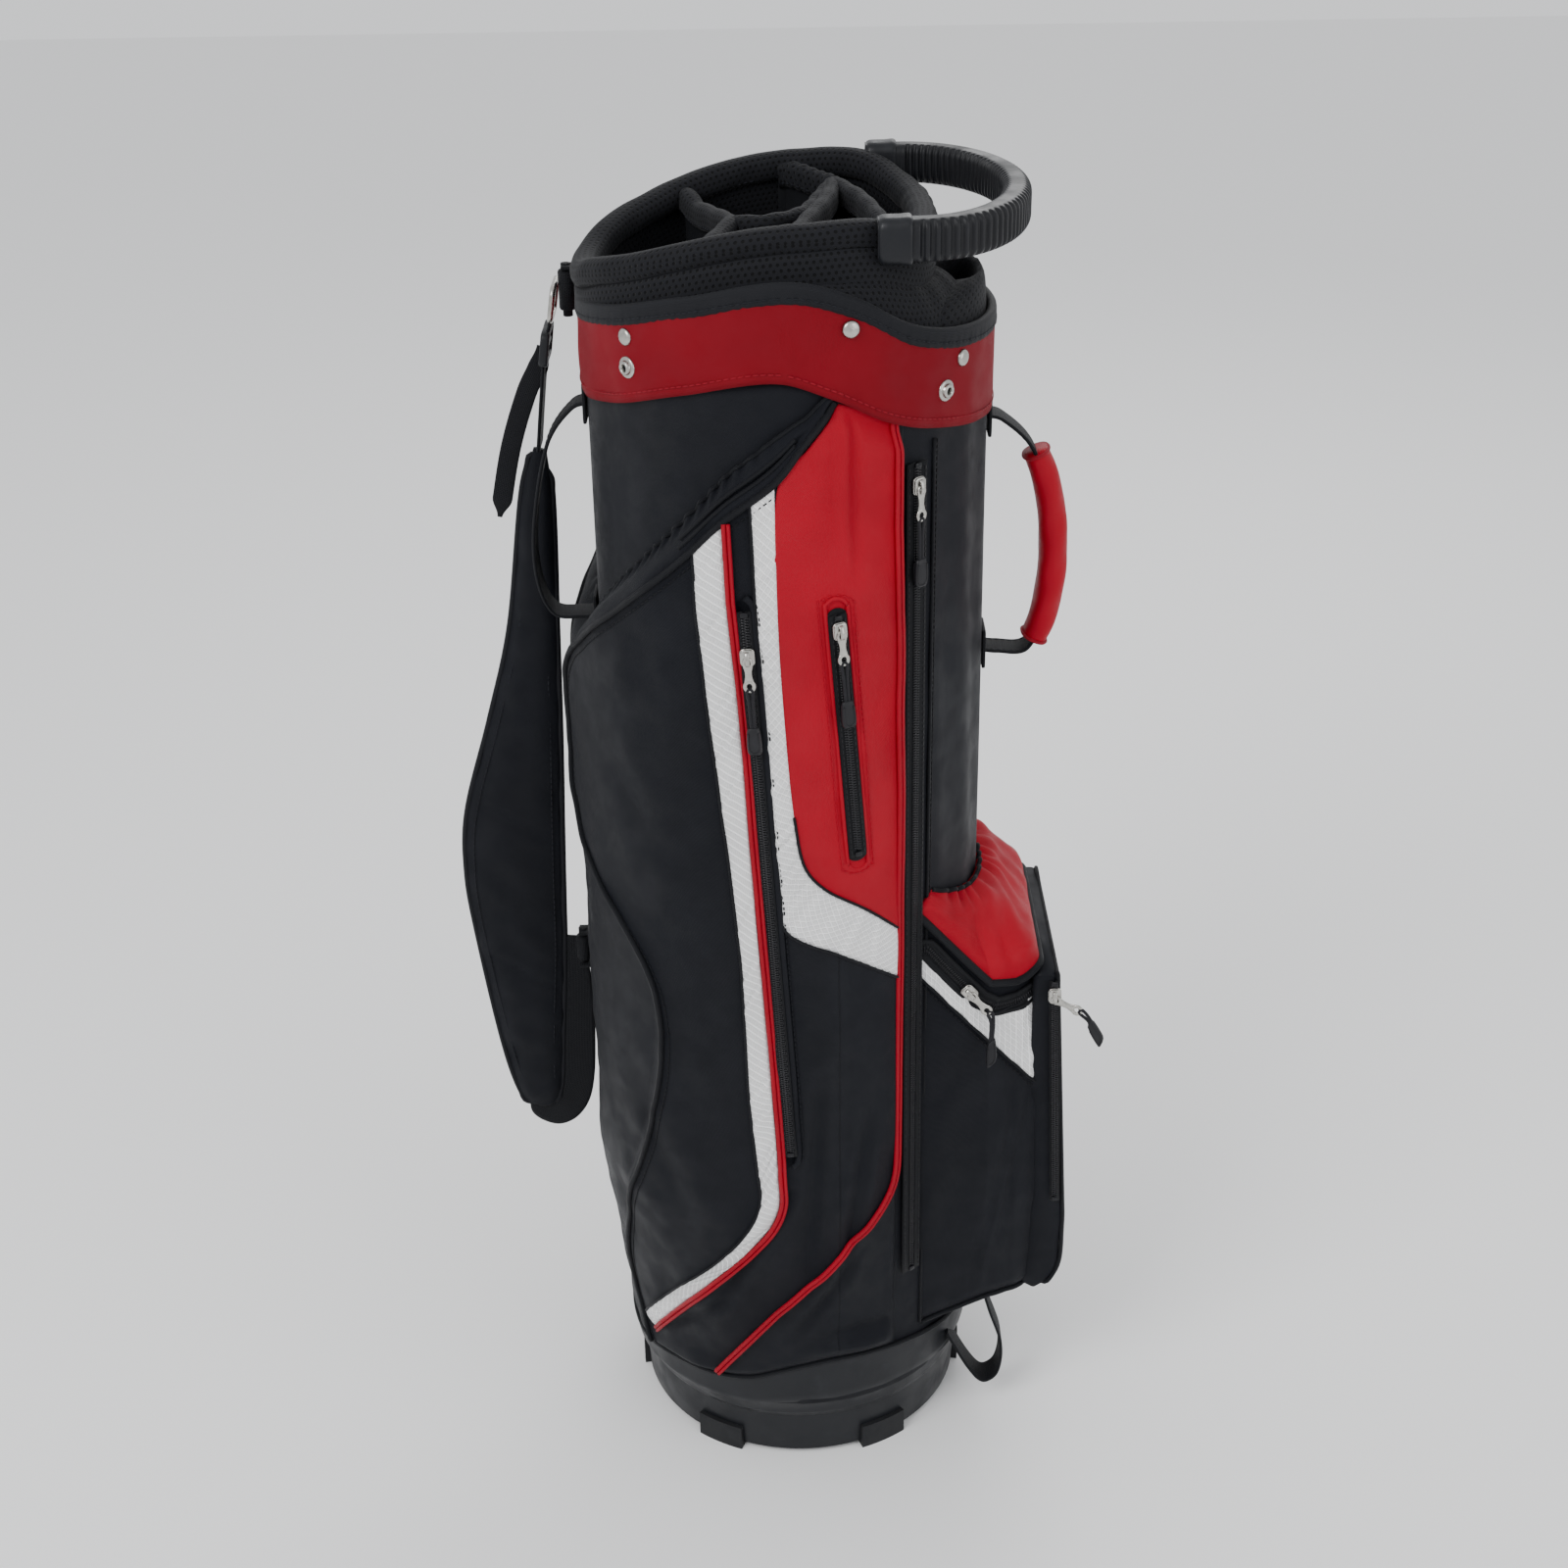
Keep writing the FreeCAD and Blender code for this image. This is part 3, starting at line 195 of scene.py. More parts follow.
def outwards(part):
    # turns a closed part's faces to point out, by the sign of its volume
    p, q = part["points"], part["quads"]
    a, b, c, d = (p[q[:, k]] for k in range(4))
    volume = (a * np.cross(b, c)).sum() + (a * np.cross(c, d)).sum()
    for cap in part["caps"]:
        o = p[cap[0]]
        volume += sum(float(np.dot(o, np.cross(p[m], p[n]))) for m, n in zip(cap[1:], cap[2:]))
    return part if volume > 0 else flipped(part)


def mirrored(part):
    twin = flipped(part)
    return {**twin, "points": twin["points"] * [1, -1, 1]}


def slab(outer, inner, closeAlong=False):
    # a closed panel between an outer and an inner grid (along, across, xyz), whose edges are drawn together
    return outwards(skin(np.concatenate([outer, inner[:, ::-1]], axis=1), closeAlong=closeAlong))


def lathe(profile, centre, axis, steps=24):
    # turns (radius, height) points round an axis through centre; a radius of 0 closes a pole
    axis = unit(np.asarray(axis, float))
    side = unit(np.cross(axis, [0.3, 0.5, 0.81]))
    other = np.cross(axis, side)
    a = np.arange(steps) * 2 * np.pi / steps
    around = np.cos(a)[:, None] * side + np.sin(a)[:, None] * other
    p = np.asarray(profile, float)
    grid = np.asarray(centre, float) + p[:, None, :1] * around + p[:, None, 1:] * axis
    return outwards(skin(grid))


def makePiece(name, parts, finish, replaces=(), body="bag", sharp=None):
    # one mesh object from closed parts, riding on a body; one made with no body rides on none
    parts = parts if isinstance(parts, list) else [parts]
    points, faces, uvs, start = [], [], [], 0
    for part in parts:
        points.append(part["points"])
        faces += (part["quads"] + start).tolist()
        faces += [[c + start for c in cap] for cap in part["caps"]]
        capUv = [np.stack([part["points"][cap][:, 0], part["points"][cap][:, 2]], -1) for cap in part["caps"]]
        uvs += [part["uv"].reshape(-1, 2)] + capUv
        start += len(part["points"])
    mesh = bpy.data.meshes.new(name)
    mesh.from_pydata((np.concatenate(points) * mm).tolist(), [], faces)
    layer = mesh.uv_layers.new(name="cloth")
    layer.data.foreach_set("uv", (np.concatenate(uvs) * mm).astype(np.float32).ravel())
    mesh.polygons.foreach_set("use_smooth", [True] * len(mesh.polygons))
    mesh.materials.append(finishes[finish])
    piece = bpy.data.objects.new(name, mesh)
    bpy.context.scene.collection.objects.link(piece)
    if sharp:
        mesh.set_sharp_from_angle(angle=np.radians(sharp))
    if body:
        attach(piece, body)
    if replaces:
        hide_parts(*replaces)
    return piece


# Finishes. A pattern on cloth reads the surface's own map, which is in metres along and across the weave


class Finish:
    # one material; its methods add nodes and return sockets
    def __init__(self, name, colour, roughness, **surface):
        self.material = bpy.data.materials.new(name)
        self.material.use_nodes = True
        self.tree = self.material.node_tree
        self.shader = self.tree.nodes["Principled BSDF"]
        self.colour = (*colour, 1)
        self.shader.inputs["Base Color"].default_value = self.colour
        self.shader.inputs["Roughness"].default_value = roughness
        for label, value in surface.items():
            self.shader.inputs[label.replace("_", " ")].default_value = value

    def node(self, kind, **settings):
        made = self.tree.nodes.new(kind)
        for label, value in settings.items():
            setattr(made, label, value)
        return made

    def feed(self, socket, value):
        if isinstance(value, bpy.types.NodeSocket):
            self.tree.links.new(value, socket)
        else:
            socket.default_value = value

    def sum(self, operation, *values):
        made = self.node("ShaderNodeMath", operation=operation)
        for socket, value in zip(made.inputs, values):
            self.feed(socket, value)
        return made.outputs[0]

    def place(self, onSurface):
        where = self.node("ShaderNodeUVMap", uv_map="cloth") if onSurface else self.node("ShaderNodeTexCoord")
        split = self.node("ShaderNodeSeparateXYZ")
        self.feed(split.inputs[0], where.outputs["UV" if onSurface else "Object"])
        return [self.sum("MULTIPLY", axis, 1 / mm) for axis in split.outputs]

    def noise(self, size, detail=2.0):
        # uneven patches about size millimetres across
        where = self.node("ShaderNodeTexCoord")
        made = self.node("ShaderNodeTexNoise")
        self.feed(made.inputs["Vector"], where.outputs["Object"])
        made.inputs["Scale"].default_value = 1 / (size * mm)
        made.inputs["Detail"].default_value = detail
        return made.outputs["Fac"]

    def blend(self, share, low, high):
        # a colour from low to high by share
        made = self.node("ShaderNodeMix", data_type="RGBA")
        self.feed(made.inputs[0], share)
        self.feed(made.inputs[6], low)
        self.feed(made.inputs[7], high)
        return made.outputs[2]

    def spread(self, value, low, high, toLow=0.0, toHigh=1.0):
        made = self.node("ShaderNodeMapRange", interpolation_type="SMOOTHSTEP")
        for socket, given in zip(made.inputs, (value, low, high, toLow, toHigh)):
            self.feed(socket, given)
        return made.outputs[0]

    def wave(self, position, pitch):
        return self.sum("SINE", self.sum("MULTIPLY", position, 2 * np.pi / pitch))

    def bump(self, height, depth, strength=1.0):
        # raises the surface by depth millimetres where height is 1, over any bump already there
        made = self.node("ShaderNodeBump")
        made.inputs["Strength"].default_value = strength
        made.inputs["Distance"].default_value = depth * mm
        self.feed(made.inputs["Height"], height)
        under = self.shader.inputs["Normal"]
        if under.is_linked:
            self.feed(made.inputs["Normal"], under.links[0].from_socket)
        self.feed(under, made.outputs[0])

    def tone(self, share, low, high):
        # mixes the base colour between two multiples of itself
        scaled = [tuple(min(c * m, 1) for c in self.colour[:3]) + (1,) for m in (low, high)]
        self.feed(self.shader.inputs["Base Color"], self.blend(share, *scaled))


def wovenFinish(name, colour, roughness, pitch=0.9, depth=0.12, sheen=0.25):
    # plain weave: two crossed sines, with faint painted patches of sheen and shade, painted shade between the
    # threads, and slack creases
    made = Finish(name, colour, roughness, Sheen_Weight=sheen, Sheen_Roughness=0.4, Specular_IOR_Level=0.14)
    u, v, _ = made.place(True)
    threads = made.sum("MULTIPLY", made.wave(u, pitch), made.wave(v, pitch))
    # painted sheen and shade: the colour is painted lighter and darker in slow patches, and a little darker
    # between the raised threads
    made.tone(made.spread(made.sum("ADD", made.noise(60), made.sum("MULTIPLY", threads, 0.12)), 0.2, 0.8),
              0.9, 1.1)
    made.feed(made.shader.inputs["Roughness"], made.spread(made.noise(18), 0.3, 0.7, roughness - 0.07,
                                                           roughness + 0.07))
    made.bump(made.noise(16, 2), 0.14, 0.4)
    made.bump(threads, depth)
    return made.material


def ripstopFinish(name, colour, across, along, slant):
    # raised grid threads with faint shaded cells between, as diamonds (slant 1) or squares (slant 0)
    made = Finish(name, colour, 0.5, Sheen_Weight=0.1, Specular_IOR_Level=0.4)
    u, v, _ = made.place(True)
    first = made.sum("ADD", made.sum("DIVIDE", u, across), made.sum("MULTIPLY", made.sum("DIVIDE", v, along),
                                                                    slant))
    second = made.sum("SUBTRACT", made.sum("DIVIDE", v, along),
                      made.sum("MULTIPLY", made.sum("DIVIDE", u, across), slant))
    lines = []
    for run in (first, second):
        off = made.sum("ABSOLUTE", made.sum("SUBTRACT", made.sum("FRACT", run), 0.5))
        lines.append(made.spread(off, 0.3, 0.44))
    grid = made.sum("MAXIMUM", *lines)
    made.tone(made.sum("ADD", made.sum("MULTIPLY", grid, 0.6), made.sum("MULTIPLY", made.noise(30), 0.4)),
              0.62, 1.0)
    made.bump(made.noise(12, 3), 0.6, 0.45)
    made.bump(grid, 0.4)
    return made.material


def meshFinish(name, colour, pitch, depth):
    # a knitted mesh: holes on a triangular lattice, from three crossed cosines, with painted shade in the
    # holes
    made = Finish(name, colour, 0.75, Sheen_Weight=0.04, Sheen_Roughness=0.5, Specular_IOR_Level=0.12)
    u, v, _ = made.place(True)
    slanted = made.sum("MULTIPLY", v, 0.866)
    half = made.sum("MULTIPLY", u, 0.5)
    waves = [made.sum("COSINE", made.sum("MULTIPLY", run, 2 * np.pi / pitch)) for run in
             (u, made.sum("ADD", half, slanted), made.sum("SUBTRACT", half, slanted))]
    total = made.sum("ADD", made.sum("ADD", waves[0], waves[1]), waves[2])
    hole = made.spread(total, 0.6, 1.9)
    # painted shade: the holes are painted dark and the threads round them lighter
    made.tone(hole, 1.25, 0.28)
    made.bump(made.noise(22), 0.6, 0.4)
    made.bump(made.sum("SUBTRACT", 1.0, hole), depth)
    return made.material


def webbingFinish(name, colour, roughness, rib=1.6, cross=1.1, depth=0.28):
    # ribs across the webbing and rows along it, so that the threads stand in small blocks, with painted shade
    # in the grooves between them
    made = Finish(name, colour, roughness, Sheen_Weight=0.03, Sheen_Roughness=0.4, Specular_IOR_Level=0.15)
    u, v, _ = made.place(True)
    row = made.sum("ABSOLUTE", made.wave(u, 2 * cross))
    block = made.sum("ABSOLUTE", made.wave(made.sum("ADD", v, made.sum("MULTIPLY", made.wave(u, 2 * cross),
                                                                       0.3)), 2 * rib))
    height = made.sum("MULTIPLY", row, block)
    # painted shade: the raised blocks are painted lighter and the grooves between them darker, over random
    # patches
    made.tone(made.sum("ADD", made.sum("MULTIPLY", height, 0.7), made.sum("MULTIPLY", made.noise(25), 0.4)),
              0.55, 1.3)
    made.bump(height, depth)
    return made.material


def mouldedFinish(name, colour, roughness, grain, depth):
    # moulded plastic or rubber: a fine spark grain, scuffed spots with a painted shine that lightens their
    # colour, and faint flow marks
    made = Finish(name, colour, roughness, Specular_IOR_Level=0.24)
    # painted highlight: small scuffed spots are painted lighter as shine
    scuffShine = made.spread(made.noise(9, 6), 0.55, 0.75)
    made.tone(made.sum("ADD", made.sum("MULTIPLY", made.noise(40), 0.7), made.sum("MULTIPLY", scuffShine, 0.5)),
              0.75, 1.35)
    made.feed(made.shader.inputs["Roughness"], made.spread(made.noise(22, 4), 0.3, 0.7, roughness - 0.1,
                                                           roughness + 0.1))
    made.bump(made.noise(grain, 1), depth)
    return made.material


def metalFinish(name, colour, roughness):
    # plated metal: brushed streaks along Z, dull patches, and a slight waviness
    made = Finish(name, colour, roughness, Metallic=1.0)
    where = made.node("ShaderNodeTexCoord")
    stretch = made.node("ShaderNodeMapping")
    stretch.inputs["Scale"].default_value = (900, 900, 60)
    made.feed(stretch.inputs["Vector"], where.outputs["Object"])
    streak = made.node("ShaderNodeTexNoise")
    streak.inputs["Scale"].default_value = 1.0
    made.feed(streak.inputs["Vector"], stretch.outputs[0])
    made.tone(made.noise(4), 0.72, 1.1)
    made.feed(made.shader.inputs["Roughness"], made.spread(made.noise(3, 3), 0.3, 0.7, roughness - 0.06,
                                                           roughness + 0.16))
    made.bump(streak.outputs["Fac"], 0.05)
    return made.material


def cordFinish(name, colour):
    # a braided cord: two crossing slanted ribs, with painted shade between them
    made = Finish(name, colour, 0.55, Sheen_Weight=0.03, Specular_IOR_Level=0.2)
    u, v, _ = made.place(True)
    one = made.wave(made.sum("ADD", u, v), 1.5)
    two = made.wave(made.sum("SUBTRACT", u, v), 1.5)
    height = made.sum("MAXIMUM", one, two)
    # painted shade: the ribs are painted lighter and the hollows between them darker
    made.tone(height, 0.6, 1.3)
    made.bump(height, 0.2)
    return made.material


finishes = {"black": wovenFinish("black nylon", (0.0045, 0.0052, 0.0082), 0.5, sheen=0.015),
            "lining": wovenFinish("black lining", (0.004, 0.0045, 0.006), 0.72, sheen=0.01),
            "red": wovenFinish("red nylon", (0.33, 0.0006, 0.012), 0.42, sheen=0.0),
            "cuff": wovenFinish("deep red nylon", (0.19, 0.0004, 0.0075), 0.6, pitch=0.7, sheen=0.0),
            "white": ripstopFinish("white diamond ripstop", (0.90, 0.90, 0.90), 4.6, 5.6, 1.0),
            "square": ripstopFinish("white square ripstop", (0.90, 0.90, 0.90), 5.0, 5.0, 0.0),
            "mesh": meshFinish("black padded mesh", (0.0065, 0.0068, 0.0085), 3.4, 0.7),
            "piping": wovenFinish("red piping", (0.30, 0.001, 0.012), 0.35, pitch=0.7, depth=0.08, sheen=0.0),
            "edging": wovenFinish("black edging", (0.005, 0.0055, 0.0075), 0.45, pitch=0.8, sheen=0.02),
            "binding": webbingFinish("black binding tape", (0.008, 0.0085, 0.011), 0.6, rib=0.9, cross=0.8,
                                     depth=0.15), "webbing": webbingFinish("black webbing",
                                                                           (0.006, 0.0065, 0.0085), 0.6),
            "tape": webbingFinish("zip tape", (0.005, 0.0055, 0.007), 0.6, rib=0.7, cross=0.7, depth=0.12),
            "teeth": mouldedFinish("zip teeth", (0.008, 0.008, 0.010), 0.3, 1.5, 0.03),
            "moulded": mouldedFinish("moulded black plastic", (0.009, 0.0098, 0.012), 0.42, 0.9, 0.05),
            "handle": mouldedFinish("black handle rubber", (0.008, 0.0085, 0.0105), 0.45, 0.7, 0.05),
            "rubber": mouldedFinish("black foot rubber", (0.011, 0.0115, 0.013), 0.65, 0.7, 0.08),
            "toggle": mouldedFinish("black pull rubber", (0.012, 0.012, 0.014), 0.42, 1.2, 0.04),
            "rod": mouldedFinish("grey rod", (0.20, 0.21, 0.22), 0.45, 3.0, 0.03),
            "nickel": metalFinish("nickel plate", (0.46, 0.45, 0.42), 0.22),
            "cord": cordFinish("black pull cord", (0.012, 0.012, 0.015)),
            "blackThread": wovenFinish("black thread", (0.014, 0.015, 0.02), 0.5, pitch=0.5, sheen=0.02),
            "redThread": wovenFinish("red thread", (0.30, 0.008, 0.02), 0.5, pitch=0.5, sheen=0.0),}
print("finishes made:", len(finishes))


# The bag's own lines


def aroundBag(angle, radius, z):
    # a point at an angle round the bag, where 0 is -Y and 90 is +X
    a = np.radians(angle)
    return np.stack(np.broadcast_arrays(radius * np.sin(a), -radius * np.cos(a), z), -1)


def folded(angle):
    # the angle on the right-hand side that mirrors one on the left
    a = (np.asarray(angle, float) + 180) % 360 - 180
    return np.where(a > 90, 180 - a, np.where(a < -90, -180 - a, a))


cuff = {
    "bottom": [(-90, -36), (-56, -28), (-28, -12), (-2, -2), (12, -12), (28, -29.5), (50, -42), (90, -51)],
    "top": [(-90, 10), (-56, 19), (-28, 33), (2, 44), (18, 34), (34, 15), (50, 6), (90, 1)],
    "gap": 0.4,
    "wall": 2.5,
    "hem": 6.0,
    "hemLift": 0.5,
    "flare": 1.5,  # the lower edge stands off by this over the side pockets
    "bindingHeight": 9.5,
    "bindingWidth": 5.6,
    "stitchPitch": 4.2,
    "stitchLength": 3.0,
}


def cuffLow(angle):
    return shellTop + easedCurve(cuff["bottom"], folded(angle))


def cuffHigh(angle):
    return shellTop + easedCurve(cuff["top"], folded(angle))


def cuffFlare(angle):
    a = folded(angle)
    return cuff["flare"] * ramp(a, 0, 12) * (1 - ramp(a, 34, 44))


pocket = {
    "circles": [(88, -3, -1.5, 123.0), (220, -13, -6, 128.5), (660, -13, -6, 128.5), (776, -3, -2, 123.6)],
    "backAngle": -86.5,
    "frontAngle": 32.4,
    "edge": 2.4,  # degrees over which a side edge turns in to the shell
    "wall": 1.2,
    "mouth": [(-86, 565), (-74, 588), (-61.7, 611), (-41.6, 650), (-27, 681), (-16.6, 705.5), (-3.6, 729),
              (3.9, 750),
              (12.2, 772)],
    "outline": [(12.2, 772), (3.9, 750), (-3.6, 729), (-16.6, 705.5), (-27, 681), (-41.6, 650), (-61.7, 611),
                (-75, 583), (-81, 540), (-79, 500), (-70.7, 466), (-57.6, 446), (-47, 424), (-39.4, 395),
                (-37, 362),
                (-37.9, 326), (-42, 282), (-47.5, 240), (-55.5, 194), (-61.7, 146), (-63.5, 112), (-60, 84),
                (-57, 66)],
    "seam": [(-90, 60), (-67.7, 57), (-44.7, 66), (-29, 69), (-16, 74), (-7, 82), (7, 90), (21.7, 91),
             (37, 88), (60, 80),
             (90, 76)],
    "creases": [(-2, 245, -30, 120, 9, 2.2), (6, 330, 2, 150, 10, 1.6), (22, 300, 12, 150, 9, 1.8),
                (-20, 150, -46, 96, 7, 1.6), (20, 190, -2, 118, 8, 1.5), (-60, 560, -38, 500, 22, 1.3),
                (-52, 330, -30, 200, 20, 1.4)],
    "gusset": 25.0,
    "gatherPitch": 7.5,
}
# (angle, height) of the top and the bottom, then how far down the slider stands, and the tape's width
zipPlaces = {
    "garment": ((-11.2, 655), (-2.0, 275), 22.0, 8.4),
    "valuables": ((11.6, 650), (17.2, 490), 4.0, 11.0),
    "seam": ((36.3, shellTop - 56), (38.0, 150), 8.0, 15.0),
}


def mouthHeight(angle):
    # the top edge of the pocket: the slanted mouth, and beyond it the lower edge of the cuff
    return np.where(np.asarray(angle) < pocket["mouth"][-1][0], easedCurve(pocket["mouth"], angle),
                    cuffLow(angle) + 4)


def seamHeight(angle):
    return easedCurve(pocket["seam"], folded(angle))


def circleReach(angle, z):
    # distance from the bag's axis to the stack of circles that the pocket's skin lies on, and its
    # outward direction
    table = np.array(pocket["circles"], float)
    cx, cy, radius = (np.interp(z, table[:, 0], table[:, c]) for c in (1, 2, 3))
    a = np.radians(angle)
    along = cx * np.sin(a) - cy * np.cos(a)
    reach = along + np.sqrt(radius**2 - cx**2 - cy**2 + along**2)
    point = aroundBag(angle, reach, z)
    out = unit(np.stack([point[..., 0] - cx, point[..., 1] - cy, np.zeros_like(cx + reach)], -1))
    return reach, out


def lineDistance(angle, z, start, end):
    # distance over the cloth from a straight line between two (angle, height) places
    scale = pocketDegree
    p = np.stack([np.asarray(angle) * scale, np.asarray(z, float) * np.ones_like(angle)], -1)
    a, b = np.array([start[0] * scale, start[1]]), np.array([end[0] * scale, end[1]])
    share = np.clip(((p - a) @ (b - a)) / ((b - a) @ (b - a)), 0, 1)
    return np.linalg.norm(p - a - share[..., None] * (b - a), axis=-1), share


def clothRelief(angle, z):
    # height of the cloth over the skin: slow ripples, long creases, a puffed panel, a sunk waist and zip beds
    angle, z = np.asarray(angle), np.asarray(z)
    u = angle * perDegree
    relief = ripple(u, z, 9, 45, 130, 0.9, 3) + ripple(u, z, 14, 14, 34, 0.24, 4)
    puff = bell(angle + 38, 22) * bell(z - 470, 130) * 2.2
    puff = puff + bell(angle + 34, 20) * bell(z - 200, 70) * 1.6
    for startAngle, startZ, endAngle, endZ, width, depth in pocket["creases"]:
        off, share = lineDistance(angle, z, (startAngle, startZ), (endAngle, endZ))
        fade = np.sin(np.pi * np.clip(share, 0.02, 0.98)) ** 0.5
        puff = puff + fade * depth * (0.6 * bell(off - width, width * 0.6) - bell(off, width * 0.45))
    pouch = bell((angle - 22) / 15, 1.0) * (4.2 * bell(z - 102, 6) - 2.6 * bell(z - 115, 5))
    waist = easedCurve([(66, -57), (112, -63.5), (194, -55.5), (282, -42), (362, -37), (395, -39.4),
                        (446, -57.6), (466, -70.7), (500, -84)], z)
    sunk = 2.8 * (1 - ramp(angle, waist - 3.5, waist - 0.6)) * (1 - ramp(z, 440, 470))
    pleat = 2.2 * bell(angle - 14.2, 1.7) * ramp(z, 660, 725)
    pleat = pleat - 1.7 * bell(angle - 16.9, 1.3) * ramp(z, 650, 715)
    bed = 0
    for name in ("garment", "valuables"):
        top, bottom, _, width = zipPlaces[name]
        off, _ = lineDistance(angle, z, top, bottom)
        bed = np.maximum(bed, 1 - ramp(off, width * 0.5, width * 0.5 + 5))
    return (relief + puff + pouch + pleat) * (1 - bed) - sunk - 1.5 * bed


def sidePoint(angle, z, lift=0.0):
    # a place on the side pocket's cloth: the skin with its relief, drawn in to the shell along every edge
    angle, z, lift = np.broadcast_arrays(np.asarray(angle, float), np.asarray(z, float),
                                         np.asarray(lift, float))
    reach, _ = circleReach(angle, z)
    near = ramp(angle, pocket["frontAngle"] - pocket["edge"], pocket["frontAngle"])
    far = 1 - ramp(angle, pocket["backAngle"], pocket["backAngle"] + pocket["edge"])
    low = 1 - ramp(z - seamHeight(angle), 0, 7)
    tuck = ramp(z - cuffLow(angle), -16, -2) * ramp(angle, 8, 12)
    drawn = np.maximum.reduce([near, far, low, tuck])
    loose = reach + clothRelief(angle, z) * (1 - 0.7 * ramp(angle, 27, 31)) + lift
    return aroundBag(angle, loose + (shellRadius + 0.5 + 0.6 * lift - loose) * drawn, z)


def sideOut(angle, z):
    return circleReach(angle, z)[1]


def sidePath(knots, count, lift):
    # a line over the side pocket's cloth through (angle, height) places
    flat = through(np.array(knots, float) * [perDegree, 1], count)
    angle, z = flat[:, 0] / perDegree, flat[:, 1]
    return sidePoint(angle, z, lift), sideOut(angle, z)


def sidePanel(left, right, count, across, lift, puff, puckers, seed):
    # a panel sewn over the pocket between two lines of (angle, height) places, a little puffed
    # between its seams
    pairs = np.hstack([np.array(line, float) * [perDegree, 1] for line in (left, right)])
    lines = through(pairs, count)
    w = np.linspace(0, 1, across)
    flat = lines[:, None, :2] * (1 - w)[:, None] + lines[:, None, 2:] * w[:, None]
    angle, z = flat[..., 0] / perDegree, flat[..., 1]
    run = runLength(lines)[:, None]
    edge = 1 - np.abs(2 * w - 1) ** 4
    random = np.random.default_rng(seed)
    slack = np.zeros_like(angle)
    for centre, lean in zip(np.sort(random.random(puckers)) * run[-1], random.uniform(-6, 6, puckers)):
        off = run + lean * (w - 0.5) - centre
        slack += 1.5 * bell(off - 5, 4.4) - 1.5 * bell(off, 2.8)
    raised = lift + np.clip(puff * edge + slack * edge, -0.25, 1.4)
    return slab(sidePoint(angle, z, raised), sidePoint(angle, z, lift - 1.6))


def bothSides(parts):
    # the same parts on the other side of the bag
    return [mirrored(part) for part in (parts if isinstance(parts, list) else [parts])]


def onBothSides(name, parts, finish, replaces=None):
    for side, made in (("right", parts if isinstance(parts, list) else [parts]), ("left", bothSides(parts))):
        nodes = () if replaces is None else (side + "_" + replaces,)
        makePiece(side + "_" + name, made, finish, nodes)


def beam(path, section, up, closed=False):
    # a section carried along a path, as one closed part
    return outwards(skin(sweep(path, section, up, closed), closeAlong=closed))


def pipe(path, up, radius, steps=8, closed=False):
    return beam(path, circle(radius, steps), up, closed)


def repeated(template, origins, sides, ups, alongs):
    # copies of a small part, each turned to its own side, up and along directions
    count, size = len(origins), len(template["points"])
    axes = np.stack([sides, ups, alongs], 1)
    points = origins[:, None] + template["points"] @ axes
    shift = (np.arange(count) * size)[:, None, None]
    return {"points": points.reshape(-1, 3), "quads": (template["quads"][None] + shift).reshape(-1, 4),
            "caps": [], "uv": np.tile(template["uv"], (count, 1, 1))}


def nugget(width, height, length, taper=0.6):
    # a small closed lump with narrower ends: four rings of four corners, whose ends close to a flat quad
    ring = np.array([(1, 1), (-1, 1), (-1, -1), (1, -1)]) * [width / 2, height / 2]
    rows = [(-0.5, taper), (-0.25, 1.0), (0.25, 1.0), (0.5, taper)]
    grid = np.stack([np.column_stack([ring * share, np.full(4, at * length)]) for at, share in rows])
    part = skin(grid, capped=False)
    ends = np.array([[3, 2, 1, 0], [12, 13, 14, 15]])
    part["quads"] = np.vstack([part["quads"], ends])
    part["uv"] = np.concatenate([part["uv"], np.zeros((2, 4, 2))])
    return outwards(part)


def stitches(path, up, pitch, length, width=0.9, height=0.7):
    # a row of sewn stitches along a line
    total = runLength(path)
    count = max(int(total[-1] / pitch), 1)
    at = (np.arange(count) + 0.5) * total[-1] / count
    up = np.broadcast_to(up, path.shape)
    spot = np.stack([np.interp(at, total, path[:, c]) for c in range(3)], -1)
    along = unit(np.stack([np.interp(at + 0.5, total, path[:, c]) - np.interp(at - 0.5, total, path[:, c])
                           for c in range(3)], -1))
    out = unit(np.stack([np.interp(at, total, up[:, c]) for c in range(3)], -1))
    side = unit(np.cross(along, out))
    return repeated(nugget(width, height, length), spot, side, np.cross(side, along), along)


# Fabric tube, base and cuff

tube = {"wall": 1.8, "rings": 220, "rows": 84, "ripple": 0.7, "frontFolds": 0.9, "pipingRadius": 1.7,
        "skirtFoot": 38.0}


def tubeRelief(angle, z):
    # slow ripples and soft upright folds on the front panel, none beside the side zip
    u = angle * perDegree
    calm = 1 - bell(folded(angle) - 37, 7)
    front = ramp(folded(angle), 44, 52)
    folds = tube["frontFolds"] * np.sin(folded(angle) * 0.33 + 1.2 * np.sin(z / 90.0)) * front
    return calm * (ripple(u, z, 10, 40, 120, tube["ripple"], 11) * np.cos(np.radians(angle)) ** 2 + folds
                   - 0.4)


